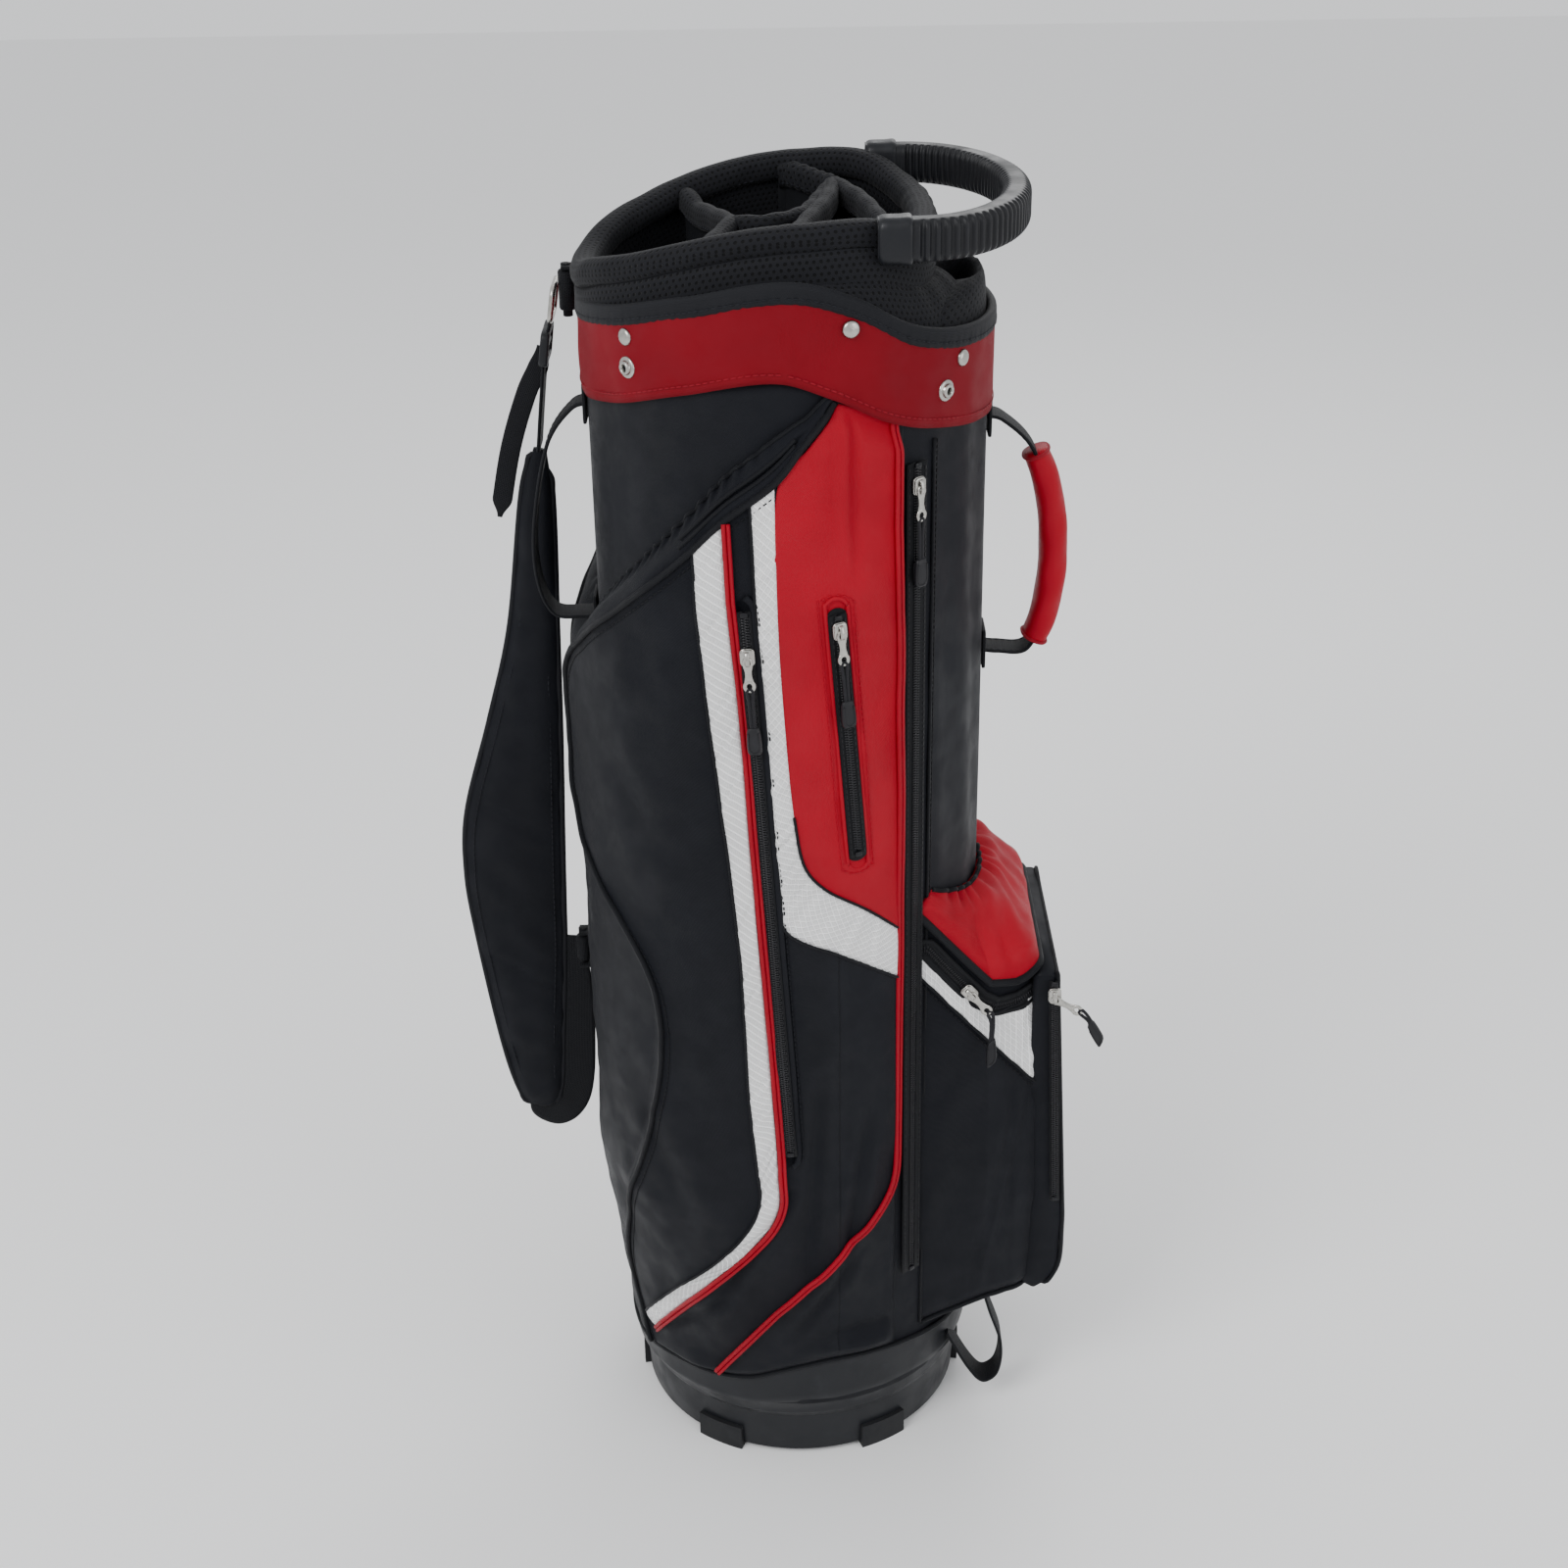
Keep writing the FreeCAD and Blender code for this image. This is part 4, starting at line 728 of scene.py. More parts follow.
def fabricTube():
    angle = np.arange(tube["rings"])[:, None] * 360.0 / tube["rings"]
    z = np.linspace(shellLow[2], shellTop - 2, tube["rows"])[None]
    outer = aroundBag(angle, shellRadius + tubeRelief(angle, z), z)
    inner = aroundBag(angle, shellRadius - tube["wall"] + 0 * z, z)
    makePiece("fabric_tube", slab(outer, inner, True), "black", ("bag_shell",))
    loop = np.arange(240) * 1.5
    makePiece("base_seam_piping", pipe(aroundBag(loop, shellRadius + 1.2, seamHeight(loop)),
                                       aroundBag(loop, 1, 0), tube["pipingRadius"], closed=True), "edging")
    share = np.linspace(0, 1, 16)
    height = tube["skirtFoot"] + (seamHeight(loop)[:, None] - tube["skirtFoot"]) * share
    reach = shellRadius + np.interp(share, [0, 0.15, 0.4, 1.0], [-4.1, -3.2, 0.5, 0.9])
    face = aroundBag(loop[:, None], reach, height)
    back = aroundBag(loop[:, None], reach - 0.6, height)
    makePiece("base_skirt", slab(face, back, True), "moulded")
    flap = []
    for side in (1, -1):
        z = np.linspace(shellTop - 46, 96, 90)
        line = aroundBag(43.5 + 0 * z, shellRadius + 0.5, z) * [1, side, 1]
        out = aroundBag(43.5, 1, 0) * [1, side, 0]
        flap += [pipe(line, out, 1.25), stitches(line + [1.8, 2.2 * side, 0] + out * 0.2, out, 3.6, 2.6)]
    makePiece("front_panel_seams", flap, "edging")


def cuffRing(loop, low, high, seat):
    # the cuff's section at each angle: up its inner face, over, and down its outer face to a rolled hem
    t = np.linspace(0, 1, 12)[None]
    a = loop[:, None]
    z = low[:, None] + (high - low)[:, None] * t
    flare = cuffFlare(a) * (1 - ramp(z - low[:, None], 0, 26))
    wave = ripple(a * perDegree, z, 8, 30, 90, 0.4, 21)
    inner = seat + flare
    above = z - low[:, None]
    hem = cuff["hemLift"] * (1 - ramp(above, 3, cuff["hem"])) - 0.35 * bell(above - cuff["hem"], 1.5)
    outer = inner + cuff["wall"] * (0.75 + 0.25 * ramp(above, 0, 2.5)) + wave + hem
    return np.concatenate([aroundBag(a, inner, z)[:, ::-1], aroundBag(a, outer, z)], 1)


def cuffPieces():
    loop = np.arange(300) * 1.2
    low, high = cuffLow(loop), cuffHigh(loop)
    seat = shellRadius + cuff["gap"]
    makePiece("cuff", outwards(skin(cuffRing(loop, low, high + 2, seat), closeAlong=True)), "cuff",
              ("cuff_band",))
    section = roundedBox(cuff["bindingWidth"], cuff["bindingHeight"] + 3, 2.7)
    middle = seat + cuff["wall"] / 2
    ripples = 0.35 * np.sin(loop * 2.1)[:, None]
    z = (high + cuff["bindingHeight"] / 2 - 1)[:, None] + section[:, 1]
    grid = aroundBag(loop[:, None], middle - 0.6 + section[:, 0] + ripples * (section[:, 1] < 0), z)
    makePiece("cuff_top_binding", outwards(skin(grid, closeAlong=True)), "binding",
              ("cuff_binding",))
    out = aroundBag(loop, 1, 0)
    hemLine = aroundBag(loop, seat + cuffFlare(loop) + cuff["wall"] + 0.35, low + cuff["hem"] - 0.6)
    makePiece("cuff_stitches", stitches(hemLine, out, cuff["stitchPitch"], cuff["stitchLength"], 0.8, 0.6),
              "redThread")
    topLine = aroundBag(loop, middle + cuff["bindingWidth"] / 2 - 0.5, high + 1.6)
    makePiece("binding_stitches", stitches(topLine, out, 3.6, 2.4, 0.7, 0.5), "blackThread")


fasteners = {"rivetAngles": (-47.0, 16.5, 54.0), "rivetDrop": 8.4, "studAngles": (-46.5, 46.5),
             "studDrop": 26.0}
rivetProfile = [(0, 1.9), (2.0, 1.8), (3.6, 1.45), (4.6, 0.85), (5.0, 0.1), (5.0, -0.8), (0, -0.8)]
studProfile = [(0, 0.5), (1.9, 0.5), (2.1, 2.6), (2.5, 3.1), (3.2, 3.2), (3.8, 2.9), (4.1, 2.0), (4.3, 1.2),
               (5.0, 1.15), (5.9, 0.9), (6.3, 0.4), (6.3, -0.6), (0, -0.6)]
studCore = [(0, 1.0), (1.2, 0.95), (1.8, 0.7), (1.85, 0.3), (0, 0.3)]
capProfile = [(0, 1.5), (2.0, 1.4), (3.6, 1.0), (4.2, 0.2), (4.2, -0.8), (0, -0.8)]


def fastenerPieces():
    seat = shellRadius + cuff["gap"] + cuff["wall"] + 0.1
    rivets, studs, cores, caps = [], [], [], []
    for angle in fasteners["rivetAngles"]:
        z = cuffHigh(angle) - fasteners["rivetDrop"]
        out = aroundBag(angle, 1, 0)
        rivets.append(lathe(rivetProfile, aroundBag(angle, seat + 0.3 * cuffFlare(angle), z), out))
        caps.append(lathe(capProfile, aroundBag(angle, collarInside(angle, z), z), -out))
    for angle in fasteners["studAngles"]:
        place = aroundBag(angle, seat, cuffHigh(angle) - fasteners["studDrop"])
        studs.append(lathe(studProfile, place, aroundBag(angle, 1, 0), 28))
        cores.append(lathe(studCore, place, aroundBag(angle, 1, 0), 16))
    makePiece("rivets", rivets + bothSides(rivets), "nickel", ("cuff_rivets",), sharp=50)
    makePiece("snap_studs", studs + bothSides(studs), "nickel", ("hood_studs",), sharp=50)
    makePiece("snap_stud_cores", cores + bothSides(cores), "toggle")
    makePiece("rivet_caps", caps[:1] + bothSides(caps[:1]), "nickel", sharp=50)


# Throat: collar, rim, dividers and the putter well

throat = {
    "bottom": (115.0, 115.0, 72.0, 2.0),  # back, side and front reach, and how round the back is
    "top": (115.8, 95.5, 80.0, 2.15),
    "rim": (117.5, 95.5, 80.0, 2.15),
    "frontPower": 3.0,
    "rimHalf": 8.4,
    "rimHeight": 17.5,
    "rimTop": [(-121, 40), (-108, 49), (-85, 58), (-55, 68), (-20, 76), (10, 79), (50, 79), (82, 67)],
    "collarBottom": -20.0,
    "collarWall": 5.0,
    "collarPuff": 2.6,
    "collarFlare": 5.6,
}


def oval(angle, size, grow=0.0):
    # a point of an oval round the bag's axis; a power of 2 is an ellipse, and more is squarer
    back, side, front, powerBack = size
    a = np.radians(angle)
    s, c = np.sin(a), -np.cos(a)
    reach = np.where(s > 0, front, back) + grow
    power = np.where(s > 0, throat["frontPower"], powerBack)
    scale = (np.abs(s / reach) ** power + np.abs(c / (side + grow)) ** power) ** (-1.0 / power)
    return scale * s, scale * c


def rimTop(x):
    return shellTop + easedCurve(throat["rimTop"], x)


def collarPoint(angle, t, grow):
    # the collar's wall at a share t of the way from the shell up to the rim
    angle, t, grow = np.broadcast_arrays(angle, t, grow)
    low, high = oval(angle, throat["bottom"], grow), oval(angle, throat["top"], grow)
    x, y = (a + (b - a) * t for a, b in zip(low, high))
    bottom = shellTop + throat["collarBottom"]
    return np.stack([x, y, bottom + (rimTop(high[0]) - 14 - bottom) * t], -1)


def collarInside(angle, z):
    # distance from the axis to the collar's inner face at a height
    bottom = shellTop + throat["collarBottom"]
    x, _ = oval(angle, throat["top"])
    t = (z - bottom) / (rimTop(x) - 14 - bottom)
    return np.linalg.norm(collarPoint(angle, t, -throat["collarWall"] / 2)[..., :2], axis=-1)


def collarAndRim():
    angle = np.arange(220)[:, None] * 360.0 / 220
    t = np.linspace(0, 1, 22)[None]
    quilt = ripple(angle * 1.9, t * 70, 10, 22, 60, 0.5, 31)
    puff = throat["collarPuff"] * np.sin(np.pi * t) ** 0.8 + quilt * np.sin(np.pi * t)
    flare = throat["collarFlare"] * ramp(t, 0.15, 1.0)  # the cloth runs out to meet the rim's outer face
    outer = collarPoint(angle, t, throat["collarWall"] / 2 + 0.6 * puff + flare)
    inner = collarPoint(angle, t, -throat["collarWall"] / 2 - 0.5 * puff)
    collar = makePiece("collar", slab(outer, inner, True), "mesh", ("throat_collar",))
    a = np.linspace(0, 2 * np.pi, 29)[:-1]
    section = signedPower(np.stack([np.cos(a), np.sin(a)], -1), 0.8) * [throat["rimHalf"],
                                                                        throat["rimHeight"] / 2]
    x, y = oval(angle, throat["rim"], section[:, 0] + ripple(angle * 1.9, section[:, 1] * 2, 10, 18, 50, 0.35,
                                                             32))
    centre = rimTop(oval(angle, throat["rim"])[0]) - throat["rimHeight"] / 2
    rim = makePiece("rim", outwards(skin(np.stack([x, y, centre + section[:, 1]], -1), closeAlong=True)),
                    "mesh", ("throat_rim",))
    flat = angle[:, 0]
    x, y = oval(flat, throat["rim"], 2.0 - throat["rimHalf"])
    line = np.stack([x, y, centre[:, 0] + throat["rimHeight"] / 2 - 14.5], -1)
    seam = stitches(line, aroundBag(flat, -1, 0), 4.0, 2.6, 0.9, 0.9)
    makePiece("rim_stitches", seam, "blackThread")


dividers = {
    "width": 10.6,
    "depth": 16.0,
    "drop": 11.5,
    "rise": 6.0,
    "sag": 3.0,
    "panelWall": 1.6,
    "panelBottom": 90.0,
    "back": [(-66, 92), (-44, 33), (-34, 6), (-31, -3), (-34, -14), (-43, -42), (-56, -88)],
    "link": [(-31, -3), (-20, -9), (-8, -9.5), (10, 6), (22, 42), (29, 64)],
    "left": [(30, 66), (12, 81), (-4, 95)],
    "right": [(30, 66), (27.5, 44), (23, 16), (13, -22), (-6, -100)],
    "front": [(30, 66), (38, 46), (47, 20), (58, -34), (62.5, -68), (64, -90)],
}


def rimShare(flat):
    # how far out a place is in plan, where 1 is the rim's inner face
    angle = np.degrees(np.arctan2(flat[:, 0], -flat[:, 1]))
    return np.hypot(flat[:, 0], flat[:, 1]) / np.hypot(*oval(angle, throat["rim"], -5.0))


def dividerLine(knots, count):
    # a divider's line in plan, kept inside the rim
    flat = through(knots, count)
    return flat / np.maximum(rimShare(flat), 1)[:, None]


def dividerPieces():
    # padded bars whose tops rise to the rim, and thin wavy panels below them
    section = roundedBox(dividers["depth"], dividers["width"], 4.9, 6)
    bars, panels, threads = [], [], []
    for name in ("back", "link", "left", "right", "front"):
        flat = dividerLine(dividers[name], 60)
        run = runLength(flat) / runLength(flat)[-1]
        sag = dividers["sag"] * np.sin(np.pi * run) if name == "link" else 0 * run
        rise = dividers["rise"] * ramp(rimShare(flat), 0.72, 0.97)
        top = rimTop(flat[:, 0]) - dividers["drop"] - sag + rise
        path = np.column_stack([flat, top - dividers["depth"] / 2])
        wobble = 1 + 0.04 * np.sin(run * 40 + len(name))[:, None, None]
        bars.append(beam(path, section[:, ::-1] * wobble, (0, 0, 1)))
        side = unit(np.cross(np.gradient(path, axis=0) * [1, 1, 0], [0, 0, 1.0]))
        for sign in (1, -1):
            line = path + side * sign * (dividers["width"] / 2 - 0.2) - [0, 0, 4.5]
            threads.append(stitches(line[3:-3], side[3:-3] * sign, 4.0, 2.6))
        share = np.linspace(0, 1, 26)[None, :, None]
        low = path * [1, 1, 0] + [0, 0, dividers["panelBottom"]]
        wall = low[:, None] + (path - [0, 0, dividers["depth"] / 2 - 2] - low)[:, None] * share
        wave = ripple(run[:, None] * 90, share[..., 0] * 600, 8, 50, 160, 1.0, 41 + len(panels))
        wave = (wave * np.sin(np.pi * share[..., 0]))[..., None] * side[:, None]
        half = side[:, None] * dividers["panelWall"] / 2
        panels.append(slab(wall + wave + half, wall + wave - half))
    bar = makePiece("divider_pads", bars, "mesh", ("divider_bars",))
    makePiece("divider_stitches", threads, "blackThread")
    makePiece("divider_walls", panels, "lining", ("divider_panels",))


well = {"centre": shellRadius - 21.5, "halfX": 12.5, "halfY": 21.0, "power": 2.6, "front": shellRadius - 2.3,
        "back": 80.0, "dome": [(0, -16), (0, 14), (0.02, 22), (0.07, 27), (0.16, 30), (0.32, 31),
                               (0.52, 30.5), (0.72, 28.5), (0.88, 23), (0.97, 14), (1.0, 4), (1.0, -14)]}


def putterPad():
    # a dome with a slot: from the slot's edge out to the front of the bag, and back to the collar
    a = np.arange(120) * 3.0
    c, s = np.cos(np.radians(a)), np.sin(np.radians(a))
    hole = (np.abs(c / well["halfX"]) ** well["power"]
            + np.abs(s / well["halfY"]) ** well["power"]) ** (-1 / well["power"])
    toFront = -well["centre"] * c + np.sqrt(well["front"] ** 2 - (well["centre"] * s) ** 2)
    toBack = np.where(c < -0.05, (well["centre"] - well["back"]) / np.maximum(-c, 0.05), 400.0)
    rim = np.maximum((toFront**-8 + toBack**-8) ** (-1 / 8), hole + 2.5)
    profile = through(well["dome"], 34)
    front = ramp(c, -0.75, 0.1)[:, None]
    lift = profile[None, :, 1]
    kept = np.where(profile[None, :, 0] > 0.32, 31 + (lift - 31) * (0.12 + 0.88 * front), lift)
    kept[:, -1] = -14
    reach = hole[:, None] + (rim - hole)[:, None] * np.clip(profile[None, :, 0], 0, 1)
    puff = ripple(a[:, None] * 0.7, reach, 8, 14, 40, 0.45, 51) * np.sin(np.pi * np.clip(profile[None, :, 0],
            0, 1))
    grid = np.stack([well["centre"] + reach * c[:, None], reach * s[:, None], shellTop + kept + puff], -1)
    pad = makePiece("putter_well_pad", outwards(skin(grid, closeAlong=True)), "mesh",
                    ("putter_pad",))


def wellSurround():
    # padded mesh between the collar and the cuff, on each side of the well: up from the cuff
    # towards the collar's top
    a = np.linspace(4, 70, 60)[:, None]
    s = np.linspace(0, 1, 20)[None]
    inner = collarPoint(a, 0.8, throat["collarWall"] / 2 + 3)
    outer = aroundBag(a, shellRadius - 2.0, cuffHigh(a) + 1.0)
    flat = outer + (inner - outer) * s[..., None]
    rise = np.sin(np.pi * s / 2) ** 0.62
    flat[..., 2] = outer[..., 2] + (inner[..., 2] - outer[..., 2]) * rise + ripple(a * 2, s * 40, 8, 14, 40,
            0.5, 55)
    pads = slab(flat, flat - [0, 0, 8])
    cover = makePiece("well_surround", [pads] + bothSides(pads), "mesh")


# Moulded handle at the top

grip = {"centreX": 72.0, "reach": 62.0, "halfWidth": 96.0, "height": 70.0, "thick": 17.0, "tall": 23.5,
        "corner": 5.5, "ribPitch": 5.0, "ribDepth": 1.9, "socketStart": 50.0, "socketThick": 19.0,
        "socketTall": 26.0}


def topHandle():
    # half an ellipse with a straight tail in each socket; upright ribs on both faces, from a flattened sine
    theta = np.linspace(-np.pi / 2, np.pi / 2, 400)
    arc = np.stack([grip["centreX"] + grip["reach"] * np.cos(theta), grip["halfWidth"] * np.sin(theta)], -1)
    tails = [np.array([[grip["centreX"] - 22, side * grip["halfWidth"]]]) for side in (-1, 1)]
    flat = evenly(np.concatenate([tails[0], arc, tails[1]]), 620)
    run = runLength(flat)
    path = np.column_stack([flat, np.full(len(flat), shellTop + grip["height"])])
    ribbed = ramp(run, 22, 24) * ramp(run[-1] - run, 22, 24)
    rib = np.tanh(2.6 * np.sin(run * 2 * np.pi / grip["ribPitch"])) * ribbed
    section = roundedBox(grip["thick"], grip["tall"], grip["corner"], 6)
    face = ramp(np.abs(section[:, 0]), grip["thick"] / 2 - 4, grip["thick"] / 2 - 1.5)
    body = np.broadcast_to(section, (len(path), *section.shape)).copy()
    body[..., 0] += np.sign(section[:, 0]) * face * (rib[:, None] - ribbed[:, None]) * grip["ribDepth"] / 2
    makePiece("top_handle_grip", beam(path, body, (0, 0, 1)), "handle", ("top_handle",))
    sockets = []
    for side in (-1, 1):
        x = np.array([0, 0.4, 1.2, 3, 6, 12, 16, 17.5, 18.5, 19]) + grip["socketStart"]
        scale = np.array([0.72, 0.84, 0.94, 0.99, 1.0, 1.0, 1.03, 1.03, 0.99, 0.93])
        path = np.stack([x, np.full(10, side * (grip["halfWidth"] + 0.6)),
                         np.full(10, shellTop + grip["height"])], -1)
        outline = roundedBox(grip["socketThick"], grip["socketTall"], 6.0, 6)
        sockets.append(beam(path, outline * scale[:, None, None], (0, 0, 1)))
    makePiece("handle_clamps", sockets, "moulded", ("handle_sockets",))


# Side pockets

stripes = {"firstLeft": [(-23.9, 686), (-21.5, 617), (-18.6, 542), (-15.9, 476), (-14, 420.5), (-13.5, 370.5),
                         (-12.9, 319), (-11.2, 266), (-10.4, 238.5), (-14.3, 213), (-25, 177.5), (-38.8, 143),
                         (-57.5, 94)], "firstRight": [(-16.6, 706), (-14.8, 644), (-12.6, 569), (-11.2, 504),
                                                      (-9.7, 443), (-8.5, 393.5), (-7.1, 335), (-6.2, 297.5),
                                                      (-5.5, 259), (-5.7, 231), (-10.6, 206), (-24.8, 165),
                                                      (-53.3, 86)], "secondLeft": [(-9.6, 717), (-7.9, 637),
        (-6.5, 568), (-5.1, 509), (-3.6, 468), (-2.1, 442), (13.1, 420), (30.8, 393)],
           "secondRight": [(-3.5, 729), (-2.9, 637), (-1.4, 568), (0.2, 522), (2.6, 489), (7.8, 471),
                           (18.6, 453), (30.8, 429)], "redLeft": [(13.4, 771), (4.9, 748), (-2.8, 726),
                                                                  (-2.9, 637), (-1.4, 568), (0.2, 522),
                                                                  (2.6, 489), (7.8, 471), (18.6, 453),
                                                                  (30.1, 430)], "redRight": [(28.6, 762),
        (28.7, 742), (28.9, 715), (29.4, 650), (29.9, 590), (30.2, 540), (30.4, 505), (30.6, 480),
        (30.8, 458), (31, 431)], "frontPiping": [(28.6, 762), (29.2, 659), (30.2, 531), (30.8, 427),
                                                 (31.0, 354), (31.2, 290), (30.6, 255), (27.2, 228),
                                                 (10, 183), (-7.9, 138), (-27.6, 76)],}


def sidePockets():
    a = np.linspace(pocket["backAngle"], pocket["frontAngle"], 190)[:, None]
    t = np.linspace(0, 1, 230)[None]
    low, high = seamHeight(a), mouthHeight(a)
    z = low + (high - low) * t
    onBothSides("pocket_panel", slab(sidePoint(a, z), sidePoint(a, z, -pocket["wall"])), "black",
                "side_pocket")
    first = sidePanel(stripes["firstLeft"], stripes["firstRight"], 260, 11, 0.8, 0.8, 26, 61)
    second = sidePanel(stripes["secondLeft"], stripes["secondRight"], 200, 11, 0.6, 0.5, 18, 62)
    onBothSides("long_white_stripe", first, "white")
    onBothSides("short_white_stripe", second, "white")
    red = sidePanel(stripes["redLeft"], stripes["redRight"], 220, 60, 0.6, 0.9, 0, 63)
    onBothSides("red_panel", red, "red")

    redLines = [[(angle + 0.75, z) for angle, z in stripes["firstRight"]], stripes["frontPiping"]]
    made = []
    for knots, count in zip(redLines, (300, 320)):
        path, out = sidePath(knots, count, 1.7)
        left = unit(np.cross(out, np.gradient(path, axis=0)))
        made.append(pipe(path, out, 1.6))
        made.append(pipe(path + left * 2.7 + out * 0.3, out, 1.25))
    onBothSides("red_piping", made, "piping")
    made = []
    for knots in (stripes["firstLeft"], stripes["secondLeft"], stripes["secondRight"][3:]):
        path, out = sidePath(knots, 240, 1.1)
        made.append(pipe(path, out, 0.9, 6))
    path, out = sidePath(pocket["outline"], 360, 1.0)
    made.append(pipe(path, out, 2.0))
    inside = [(angle + 2.2, z - 3) for angle, z in pocket["outline"]]
    path, out = sidePath(inside, 360, 0.2)
    made.append(stitches(path, out, 4.0, 2.8))
    onBothSides("pocket_edging", made, "edging")


def pocketGusset():
    # the strip that closes the slanted mouth: from the pocket's edge in to the shell, gathered
    # along its upper edge
    a = np.linspace(pocket["backAngle"] + 1, pocket["mouth"][-1][0], 200)[:, None]
    t = np.linspace(0, 1, 22)[None]
    start = mouthHeight(a)
    rise = pocket["gusset"] * (1 - 0.8 * ramp(a, -6, 12))
    edge = np.linalg.norm(sidePoint(a, start, 0.4)[..., :2], axis=-1)
    gather = np.sin(2 * np.pi * a * perDegree / pocket["gatherPitch"] + 0.6 * np.sin(a / 3))
    fade = 1 - ramp(a, -20, 2)
    ruffle = gather * fade * ramp(t, 0.55, 0.95)
    slit = bell(t - 0.42, 0.12) * ramp(a, -24, -15) * (1 - ramp(a, 0, 7))
    bulge = (3.4 * np.sin(np.pi * t) * (0.5 + 0.5 * fade) + 1.5 * ruffle) * (0.3 + 0.7 * ramp(a, -84,
            -62)) - 3.2 * slit
    reach = edge + (shellRadius + 1.2 - edge) * t**1.2 + bulge
    z = start + rise * t + 0.9 * ruffle
    outer = aroundBag(a, reach, z)
    inner = aroundBag(a, reach - 1.2, z - 0.5)
    onBothSides("pocket_gusset", slab(outer, inner), "black")
    lips = []
    for row in (7, 11):
        line = through(outer[118:180:4, row], 60) + [0, 0, 0.3]
        lips.append(pipe(line, unit(line * [1, 1, 0]), 1.3))
    hem = outer[30:-2, -2]
    lips.append(pipe(hem, unit(hem * [1, 1, 0]), 1.3))
    seamRow = outer[30:-6, 2]
    lips.append(stitches(seamRow, unit(seamRow * [1, 1, 0]), 4.0, 2.8))
    onBothSides("gusset_trim", lips, "edging")


# Zips: across, up and out of the cloth from the middle of each zip's top

zips = {"tapeThick": 1.6, "pitch": 1.7, "cord": 27.0}


def zipFrame(top, bottom, out):
    top, bottom, out = (np.asarray(v, float) for v in (top, bottom, out))
    up = unit(top - bottom)
    across = unit(np.cross(up, out))
    return top, across, up, unit(np.cross(across, up)), float(np.linalg.norm(top - bottom))


def placed(part, origin, across, up, out):
    # a part drawn as (across, up, out) set on the cloth
    return outwards({**part, "points": origin + part["points"] @ np.stack([across, up, out])})


def block(sizes, corner, rings=((-0.5, 0.86), (-0.42, 0.97), (-0.3, 1), (0.3, 1), (0.42, 0.97), (0.5, 0.86))):
    # a rounded lump on the origin: width, length and thickness, with a rounded outline and softened faces
    width, length, thick = sizes
    outline = roundedBox(width, length, corner, 6)
    grid = np.stack([np.column_stack([outline * share, np.full(len(outline), at * thick)]) for at,
                     share in rings])
    return outwards(skin(grid))


def zipSlider(y):
    # the body, its bridge along the middle, and the two cheeks the pull turns between
    parts = [block((8.6, 11.0, 2.0), 2.6), block((7.8, 10.4, 1.6), 2.4)]
    parts[0]["points"] = parts[0]["points"] + [0, y - 5.5, 2.5]
    parts[1]["points"] = parts[1]["points"] + [0, y - 5.5, 3.9]
    arch = np.array([(0, y - 1.6, 4.4), (0, y - 2.2, 5.6), (0, y - 4.4, 6.6), (0, y - 7.3, 6.9),
                     (0, y - 9.4, 6.0), (0, y - 10.0, 4.4)])
    parts.append(beam(through(arch, 26), roundedBox(2.6, 0.9, 0.4, 3), (0, 0, 1.0)))
    return parts


def zipTab(y, direction):
    # a flat tab with an eye at the pivot and a ring at its far end: a waisted outline with two holes
    pivot = np.array([0, y - 7.3, 5.1])
    along = unit(np.asarray(direction, float))
    side = unit(np.cross(along, (0, 0, 1.0)))
    over = np.cross(side, along)
    parts = []
    for centre, halfWide, halfLong, thick in ((0.8, 2.2, 2.6, 2.0), (15.4, 2.6, 2.9, 2.3)):
        a = np.arange(40) * 2 * np.pi / 40
        ring = pivot + along * centre + halfWide * np.cos(a)[:, None] * side + (halfLong * np.sin(a))[:,
                None] * along
        parts.append(beam(ring, roundedBox(thick, 1.6, 0.6, 3), over, closed=True))
    neck = evenly(np.array([pivot + along * 2.6, pivot + along * 13.0]), 12)
    wide = np.interp(np.linspace(0, 1, 12), [0, 0.3, 0.6, 1], [5.6, 4.0, 3.8, 5.6])
    outline = roundedBox(1.0, 1.5, 0.45, 4)[None] * np.stack([wide, np.ones(12)], -1)[:, None]
    parts.append(beam(neck, outline, over))
    return parts, pivot + along * 17.0, along, over


def zipPull(y, direction, hang, cord):
    tab, end, along, over = zipTab(y, direction)
    hang = along if hang is None else unit(np.asarray(hang, float))
    side = unit(np.cross(along + 1e-4, over))
    strands = []
    for sign in (1, -1):
        knots = np.array([end + side * 0.2 * sign - along * 0.3, end + along * 1.8 + side * sign * 1.6,
                          end + (along + hang) * 4.5 + side * sign * 1.1, end + along * 3 + hang * (cord - 3)
                          + side * sign * 0.9])
        strands.append(pipe(through(knots, 40), over, 1.15, 8))
    start = end + along * 3 + hang * (cord - 5)
    rows = [(0, 2.6, 2.6), (0.5, 3.4, 3.2), (3, 3.9, 3.9), (7, 4.3, 4.3), (12, 4.5, 4.4), (15.5, 4.3, 4.2),
            (16.7, 3.6, 3.6), (17.1, 2.4, 2.6)]
    front = unit(np.cross(side, hang))
    ring = []
    for at, half, tall in rows:
        outline = roundedBox(2 * half, tall, 1.9, 5)
        ring.append(start + hang * at + outline[:, :1] * side + outline[:, 1:] * front)
    toggle = [outwards(skin(np.stack(ring)))]
    rim = np.array([(-3.0, 3), (-3.3, 9), (-3.0, 13.5), (-1.2, 15.6), (1.2, 15.6), (3.0, 13.5), (3.3, 9),
                    (3.0, 3)])
    for face in (1, -1):
        line = start + through(rim, 40) @ np.stack([side, hang]) + front * face * 2.0
        toggle.append(pipe(line, front, 0.55, 6))
    return tab, strands, toggle


